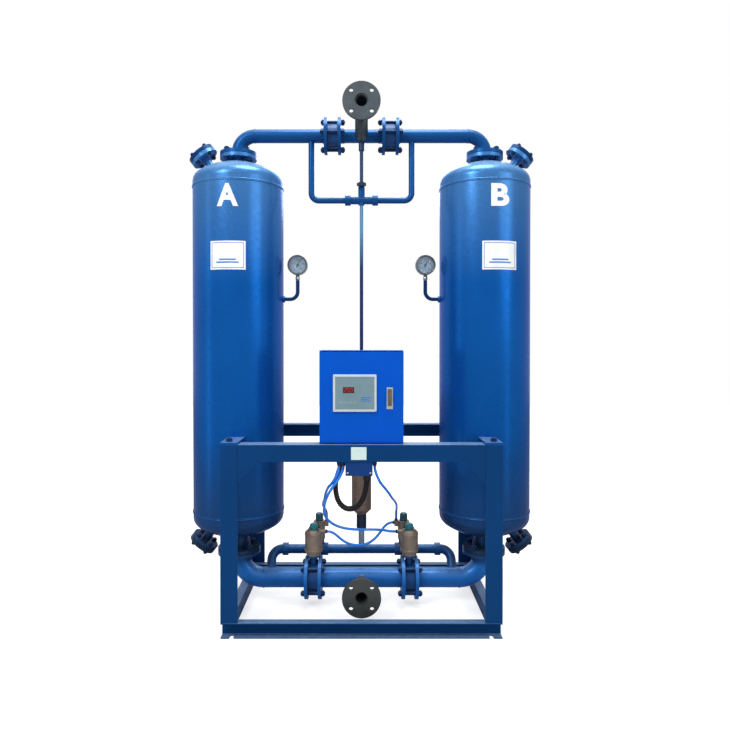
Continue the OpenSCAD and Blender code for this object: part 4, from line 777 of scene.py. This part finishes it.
class DRYER_OT_tower_marks(bpy.types.Operator):
    """Sticks the tower letters and the white plates round the front of each tower"""
    bl_idname = "dryer.tower_marks"
    bl_label = "Tower marks"

    def execute(self, context):
        sizes = context.scene.dryer_sizes
        for letter, side, turn, bold, stretch in (("A", -1, math.radians(-2.5), 0.036, 0.93),
                                                  ("B", 1, math.radians(8.3), 0.042, 1.16)):
            name = "tower_" + letter.lower()
            bm = bmesh.new()
            lettering(bm, letter, sizes.letter, bold, 0.0004, Matrix.Identity(4), stretch)
            wrap_on_tower(bm, side * TOWER_X, turn, sizes.letter_z, 0.0003)
            piece(name + "_letter", bm, "vinyl_white_cut")
            bm = bmesh.new()
            block(bm, Matrix.Identity(4), (sizes.plate_w, sizes.plate_h, 0.0008), 0.00025, 1)
            wrap_on_tower(bm, side * TOWER_X, turn, sizes.plate_z, 0.0007)
            piece(name + "_plate", bm, "vinyl_white_cut")
            bm = bmesh.new()
            line, inset, ink = 0.0026, 0.008, 0.0003
            wide, high = sizes.plate_w - 2 * inset, sizes.plate_h - 2 * inset
            for v in (-1, 1):
                block(bm, Matrix.Translation((0, v * high / 2, 0)), (wide, line, ink), 0.0001, 1)
                block(bm, Matrix.Translation((v * wide / 2, 0, 0)), (line, high, ink), 0.0001, 1)
            for v, share in ((-0.030, 0.70), (-0.018, 0.52)):
                block(bm, Matrix.Translation((0, v, 0)), (wide * share, 0.006, ink), 0.0001, 1)
            wrap_on_tower(bm, side * TOWER_X, turn, sizes.plate_z, 0.0013)
            piece(name + "_plate_print", bm, "vinyl_blue_printed")
        return {"FINISHED"}


class DRYER_OT_weld_beads(bpy.types.Operator):
    """Runs the rippled weld beads round the vessel seams, the elbows and the inlet stub"""
    bl_idname = "dryer.weld_beads"
    bl_label = "Weld beads"

    @staticmethod
    def bead(bm, place, radius, width, ripples):
        """One bead round a pipe: a low crowned strip, spun, with the ripples of the weld pool in it."""
        before = set(bm.verts)
        rise = width * 0.24
        profile = [(radius - 0.0008, -width / 2), (radius + rise * 0.65, -width * 0.32), (radius + rise, 0),
                   (radius + rise * 0.65, width * 0.32), (radius - 0.0008, width / 2)]
        turned(bm, profile, Matrix.Identity(4), ripples * 3)
        for v in new_verts(bm, before):
            angle = math.atan2(v.co.y, v.co.x)
            out = Vector((v.co.x, v.co.y, 0)).length
            if out > radius:
                swell = 1 + 0.25 * math.cos(angle * ripples + v.co.z / width * 2.0)
                v.co.xy = v.co.xy * ((radius + (out - radius) * swell) / out)
        bmesh.ops.transform(bm, matrix=place, verts=new_verts(bm, before))

    def execute(self, context):
        width = context.scene.dryer_sizes.bead
        for name, z, finish in (("upper", SHELL_TOP - SEAM_INSET, "sprayed_enamel_towers"),
                                ("lower", SHELL_BOTTOM + SEAM_INSET, "sprayed_enamel_seams")):
            bm = bmesh.new()
            for side in (-1, 1):
                self.bead(bm, Matrix.Translation((side * TOWER_X, 0, z)), TOWER_R, width, 150)
            piece(name + "_seam_beads", bm, finish, sharp=60)
        bm = bmesh.new()
        for side in (-1, 1):
            place = facing((side * (TOWER_X - OUTLET_BEND), 0, OUTLET_Z), RIGHT)
            self.bead(bm, place, OUTLET_PIPE_R, 0.007, 36)
        piece("outlet_beads", bm, "sprayed_enamel_pipes", sharp=60)
        bm = bmesh.new()
        for side in (-1, 1):
            place = facing((side * (TOWER_X - INLET_BEND), 0, INLET_Z), RIGHT)
            self.bead(bm, place, INLET_PIPE_R, 0.008, 48)
        self.bead(bm, facing((0, -0.060, INLET_Z), FRONT), STUB_R, 0.007, 34)
        piece("inlet_beads", bm, "sprayed_enamel_inlet", sharp=60)
        return {"FINISHED"}


class DRYER_OT_gauge_faces(bpy.types.Operator):
    """Prints the dials with their scale, and fits the bezels and stem nuts of the gauges"""
    bl_idname = "dryer.gauge_faces"
    bl_label = "Gauge faces"

    def execute(self, context):
        low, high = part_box("gauge_dials")
        end = context.scene.dryer_sizes.dial_end
        z = (low.z + high.z) / 2
        start, sweep, steps, numbers = 225, 270, 32, 4
        tick_r, number_r = 0.0345, 0.0225
        for side, name in ((-1, "a"), (1, "b")):
            x = side * GAUGE_X
            face = on_front(x, low.y - 0.00015, z)
            bm = bmesh.new()
            for i in range(steps + 1):
                turn = Matrix.Rotation(math.radians(start - i * sweep / steps), 4, "Z")
                long = 0.0065 if i % 8 == 0 else 0.0045 if i % 4 == 0 else 0.003
                wide = 0.0013 if i % 4 == 0 else 0.0007
                block(bm, face @ turn @ Matrix.Translation((tick_r - long / 2, 0, 0)), (long, wide, 0.0002),
                      0.00005, 1)
            for i in range(numbers + 1):
                angle = math.radians(start - i * sweep / numbers)
                number = ("%.1f" % (end * i / numbers)) if i else "0"
                spot = Matrix.Translation((number_r * math.cos(angle), number_r * math.sin(angle), 0))
                lettering(bm, number, 0.0062, 0.012, 0.0002, face @ spot)
            piece("gauge_print_" + name, bm, "pointer_blacked")
            bm = bmesh.new()
            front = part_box("gauge_cases")[0].y
            turned(bm, [(0.0395, -0.0005), (0.0400, 0.0012), (0.0420, 0.0020), (0.0445, 0.0010),
                        (0.0455, -0.0015), (0.0455, -0.0060), (0.0449, -0.0060), (0.0449, -0.0005),
                        (0.0395, -0.0005)], on_front(x, front, z), 64)
            piece("gauge_bezel_" + name, bm, "gauge_case_lacquered")
            bm = bmesh.new()
            hexagon(bm, Matrix.Translation((x, 0, z - 0.066)), 0.019, 0.012, 0.0012)
            piece("gauge_stem_nut_" + name, bm, "zinc_plated_steel")
        return {"FINISHED"}


class DRYER_OT_control_panel(bpy.types.Operator):
    """Builds the controller's face, from frame and display to keys and lamps, and the door's seal"""
    bl_idname = "dryer.control_panel"
    bl_label = "Control panel"

    def execute(self, context):
        low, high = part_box("controller")
        x, z, front = (low.x + high.x) / 2, (low.z + high.z) / 2, low.y
        wide, tall, thick = high.x - low.x + 0.001, high.z - low.z + 0.001, 0.0050
        proud, lip, sunk = 0.0004, 0.0070, 0.0014
        bm = bmesh.new()
        bmesh.ops.create_cube(bm, size=1.0, matrix=Matrix.Diagonal((wide, tall, thick, 1)))
        corners = [e for e in bm.edges if abs(e.verts[0].co.z - e.verts[1].co.z) > 0.001]
        rounded(bm, corners, 0.007, 5)
        face = max(bm.faces, key=lambda f: f.calc_center_median().z)
        rounded(bm, list(face.edges), 0.0016, 3)
        face = max(bm.faces, key=lambda f: (round(f.calc_center_median().z, 5), f.calc_area()))
        bmesh.ops.inset_region(bm, faces=[face], thickness=lip, use_even_offset=True)
        bmesh.ops.inset_region(bm, faces=[face], thickness=0.0008, depth=-sunk, use_even_offset=True)
        bmesh.ops.transform(bm, matrix=on_front(x, front - proud, z), verts=bm.verts)
        piece("panel_frame", bm, "panel_frame_abs_pale", "door")
        overlay = front - proud - thick / 2 + sunk
        bm = bmesh.new()
        block(bm, on_front(x, overlay, z), (wide - 0.0170, tall - 0.0170, 0.0010), 0.0003, 1)
        piece("panel_overlay", bm, "panel_polycarbonate_grey", "door")
        skin = overlay - 0.0005
        bm = bmesh.new()
        block(bm, on_front(DISPLAY[0], skin, DISPLAY[1]), (0.045, 0.024, 0.0016), 0.0006)
        piece("panel_display", bm, "filter_acrylic_red", "door")
        bm = bmesh.new()
        self.digits(bm, "200", on_front(DISPLAY[0], skin - 0.0010, DISPLAY[1]) @ Matrix.Scale(0.88, 4))
        piece("panel_digits", bm, "segments_lit_red", "door")
        bm = bmesh.new()
        for row, share in ((0.9705, 1.0), (0.9635, 0.72), (0.9565, 0.88)):
            block(bm, on_front(-0.002 + 0.022 * share, skin, row), (0.044 * share, 0.0036, 0.0004), 0.0001, 1)
        piece("panel_legend", bm, "vinyl_blue_printed", "door")
        bm = bmesh.new()
        key_x, key_pitch, key_z = -0.0835, 0.0185, 0.9485
        lamp_x, lamp_pitch, lamp_z = -0.004, 0.0115, 1.0240
        for i in range(4):
            block(bm, on_front(key_x + key_pitch * i, skin, key_z), (0.0145, 0.0105, 0.0012), 0.0005)
        for i in range(5):
            turned(bm, [(0.0026, 0), (0.0024, 0.0008), (0.0015, 0.0015), (0, 0.0018)],
                   on_front(lamp_x + lamp_pitch * i, skin, lamp_z), 16)
        piece("panel_keys", bm, "keys_silicone_grey", "door")
        bm = bmesh.new()
        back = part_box("control_door")[1].y - 0.0005
        for u, v, w, h in ((0, 0.170, 0.316, 0.010), (0, -0.170, 0.316, 0.010), (-0.153, 0, 0.010, 0.350),
                           (0.153, 0, 0.010, 0.350)):
            block(bm, on_front(u, back - 0.006, BOX_Z + v), (w, h, 0.006), 0.002)
        piece("door_seal", bm, "gasket_fibre_pressed", "door")
        return {"FINISHED"}

    @staticmethod
    def digits(bm, number, place):
        """Seven-segment figures, each segment a bar with rounded ends."""
        bars = {"0": "abcdef", "2": "abged"}
        spots = {"a": (0, 0.0080, 0), "g": (0, 0, 0), "d": (0, -0.0080, 0), "b": (0.0045, 0.0040, 1),
                 "c": (0.0045, -0.0040, 1), "f": (-0.0045, 0.0040, 1), "e": (-0.0045, -0.0040, 1)}
        for i, figure in enumerate(number):
            for bar in bars[figure]:
                u, v, upright = spots[bar]
                size = (0.0017, 0.0066, 0.0005) if upright else (0.0074, 0.0017, 0.0005)
                block(bm, place @ Matrix.Translation((0.0140 * (i - 1) + u, v, 0)), size, 0.00022, 1)


class DRYER_OT_box_inside(bpy.types.Operator):
    """Fills the control box behind its door: back plate, rails, terminals, relays and wiring ducts"""
    bl_idname = "dryer.box_inside"
    bl_label = "Control box inside"

    def execute(self, context):
        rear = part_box("control_enclosure")[1].y - 0.002
        terminals_z, relays_z = 0.880, 1.030
        bm = bmesh.new()
        block(bm, on_front(0, rear - 0.009, BOX_Z), (0.300, 0.340, 0.002), 0.0006, 1)
        for x in (-0.135, 0.135):
            for z in (0.816, 1.126):
                turned(bm, [(0, 0.014), (0.0045, 0.0135), (0.0055, 0.010), (0.0055, 0), (0, 0)],
                       on_front(x, rear, z), 16)
        for z in (terminals_z, relays_z):
            block(bm, on_front(0, rear - 0.0135, z), (0.230, 0.035, 0.007), 0.0010, 1)
        piece("box_back_plate", bm, "zinc_plated_steel")
        bm = bmesh.new()
        for i in range(20):
            x = -0.0960 + 0.0090 * i
            block(bm, on_front(x, rear - 0.036, terminals_z), (0.0082, 0.048, 0.040), 0.0010, 1)
        piece("box_terminals", bm, "terminal_polyamide_grey")
        bm = bmesh.new()
        for i in range(5):
            x = -0.084 + 0.040 * i
            block(bm, on_front(x, rear - 0.046, relays_z), (0.036, 0.078, 0.058), 0.0022)
            block(bm, on_front(x, rear - 0.077, relays_z), (0.028, 0.040, 0.006), 0.0015)
        piece("box_relays", bm, "vinyl_black_dipped")
        bm = bmesh.new()
        for z in (0.825, 0.945, 1.110):
            block(bm, on_front(0, rear - 0.030, z), (0.270, 0.030, 0.040), 0.0020, 1)
            for i in range(22):
                block(bm, on_front(-0.126 + 0.012 * i, rear - 0.030, z), (0.0045, 0.034, 0.036), 0.0006, 1)
        piece("box_ducts", bm, "duct_pvc_pale")
        return {"FINISHED"}


class DRYER_OT_valve_trim(bpy.types.Operator):
    """Adds the teal caps' pointer bars, the actuators' screws and bands, and the check valves' arrows"""
    bl_idname = "dryer.valve_trim"
    bl_label = "Valve trim"

    def execute(self, context):
        for name, body in (("inlet_cap_a", "butterfly_a"), ("inlet_cap_b", "butterfly_b")):
            low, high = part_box(name)
            x, y, r = (low.x + high.x) / 2, (low.y + high.y) / 2, (high.x - low.x) / 2
            bm = bmesh.new()
            block(bm, Matrix.Translation((x, y, high.z + 0.0015)), (0.007, 1.7 * r, 0.004), 0.0014)
            for i in range(18):
                turn = Matrix.Translation((x, y, 0)) @ Matrix.Rotation(math.radians(20 * i), 4, "Z")
                block(bm, turn @ Matrix.Translation((r, 0, (low.z + high.z) / 2 - 0.002)),
                      (0.0016, 0.0028, (high.z - low.z) * 0.7), 0.0006, 1)
            piece(name + "_grip", bm, "abs_teal_moulded", body)
        low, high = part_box("inlet_actuators")
        bm = bmesh.new()
        for side in (-1, 1):
            for z in (high.z - 0.020, low.z + 0.022):
                turned(bm, [(0.0398, -0.005), (0.0416, -0.0038), (0.0416, 0.0038), (0.0398, 0.005)],
                       Matrix.Translation((side * ACTUATOR_X, 0, z)), 64)
        piece("actuator_bands", bm, "die_cast_bronze_anodised")
        bm = bmesh.new()
        for side in (-1, 1):
            for i in range(4):
                angle = math.radians(45 + 90 * i)
                off = Vector((math.cos(angle), math.sin(angle), 0)) * 0.0285
                spot = Vector((side * ACTUATOR_X, 0, high.z)) + off
                turned(bm, [(0.0045, 0), (0.0045, 0.0032), (0.0040, 0.0040), (0.0024, 0.0040),
                            (0.0020, 0.0020), (0, 0.0020)], Matrix.Translation(spot), 20)
        piece("actuator_screws", bm, "black_oxide_steel")
        bm = bmesh.new()
        for name, way in (("check_body_a", 1), ("check_body_b", -1)):
            low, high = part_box(name)
            x, y, z = (low.x + high.x) / 2, low.y, (low.z + high.z) / 2
            block(bm, on_front(x - way * 0.003, y + 0.0005, z), (0.022, 0.006, 0.005), 0.0015)
            for v in (-1, 1):
                barb = Matrix.Rotation(-way * v * math.radians(42), 4, "Z")
                tip = on_front(x + way * 0.010, y + 0.0005, z) @ barb
                block(bm, tip @ Matrix.Translation((-way * 0.0055, 0, 0)), (0.014, 0.0055, 0.005), 0.0015)
        piece("check_arrows", bm, "cast_iron_enamelled")
        return {"FINISHED"}


class DRYER_OT_skid_trim(bpy.types.Operator):
    """Sticks the pale label on the front beam and sets the pilot valve box's cover screws"""
    bl_idname = "dryer.skid_trim"
    bl_label = "Skid trim"

    def execute(self, context):
        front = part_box("beams")[0].y
        bm = bmesh.new()
        block(bm, on_front(-0.011, front - 0.0003, 0.747), (0.062, 0.051, 0.0008), 0.00025, 1)
        piece("beam_label", bm, "paper_label_mint")
        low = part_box("pilot_valve_box")[0]
        bm = bmesh.new()
        for x in (-0.056, 0.036):
            turned(bm, [(0.0040, -0.0005), (0.0038, 0.0016), (0.0022, 0.0026), (0, 0.0028)],
                   on_front(x, low.y, low.z + 0.012), 20)
        piece("pilot_cover_screws", bm, "zinc_plated_steel")
        return {"FINISHED"}


class DRYER_PT_panel(bpy.types.Panel):
    """Lists the sizes, the colours and the steps that dress the dryer"""
    bl_idname = "DRYER_PT_panel"
    bl_label = "Air dryer"
    bl_space_type = "VIEW_3D"
    bl_region_type = "UI"
    bl_category = "Dryer"

    def draw(self, context):
        for group in (context.scene.dryer_sizes, context.scene.dryer_colours):
            box = self.layout.box()
            for name in group.__annotations__:
                box.prop(group, name)
        for step in STEPS:
            self.layout.operator(step.bl_idname)


STEPS = (DRYER_OT_stage, DRYER_OT_finishes, DRYER_OT_tubes, DRYER_OT_conduit, DRYER_OT_tower_marks,
         DRYER_OT_weld_beads, DRYER_OT_gauge_faces, DRYER_OT_control_panel, DRYER_OT_box_inside,
         DRYER_OT_valve_trim, DRYER_OT_skid_trim)
CLASSES = (DryerColours, DryerSizes, *STEPS, DRYER_PT_panel)


def register():
    """Adds the classes and their settings to Blender."""
    for cls in CLASSES:
        bpy.utils.register_class(cls)
    bpy.types.Scene.dryer_colours = bpy.props.PointerProperty(type=DryerColours)
    bpy.types.Scene.dryer_sizes = bpy.props.PointerProperty(type=DryerSizes)


def unregister():
    """Takes the classes and their settings away again."""
    del bpy.types.Scene.dryer_sizes
    del bpy.types.Scene.dryer_colours
    for cls in reversed(CLASSES):
        bpy.utils.unregister_class(cls)


def main():
    """Dresses the dryer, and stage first."""
    register()
    bpy.ops.dryer.stage()
    bpy.ops.dryer.finishes()
    bpy.ops.dryer.tubes()
    bpy.ops.dryer.conduit()
    bpy.ops.dryer.tower_marks()
    bpy.ops.dryer.weld_beads()
    bpy.ops.dryer.gauge_faces()
    bpy.ops.dryer.control_panel()
    bpy.ops.dryer.box_inside()
    bpy.ops.dryer.valve_trim()
    bpy.ops.dryer.skid_trim()


if __name__ == "__main__":
    main()
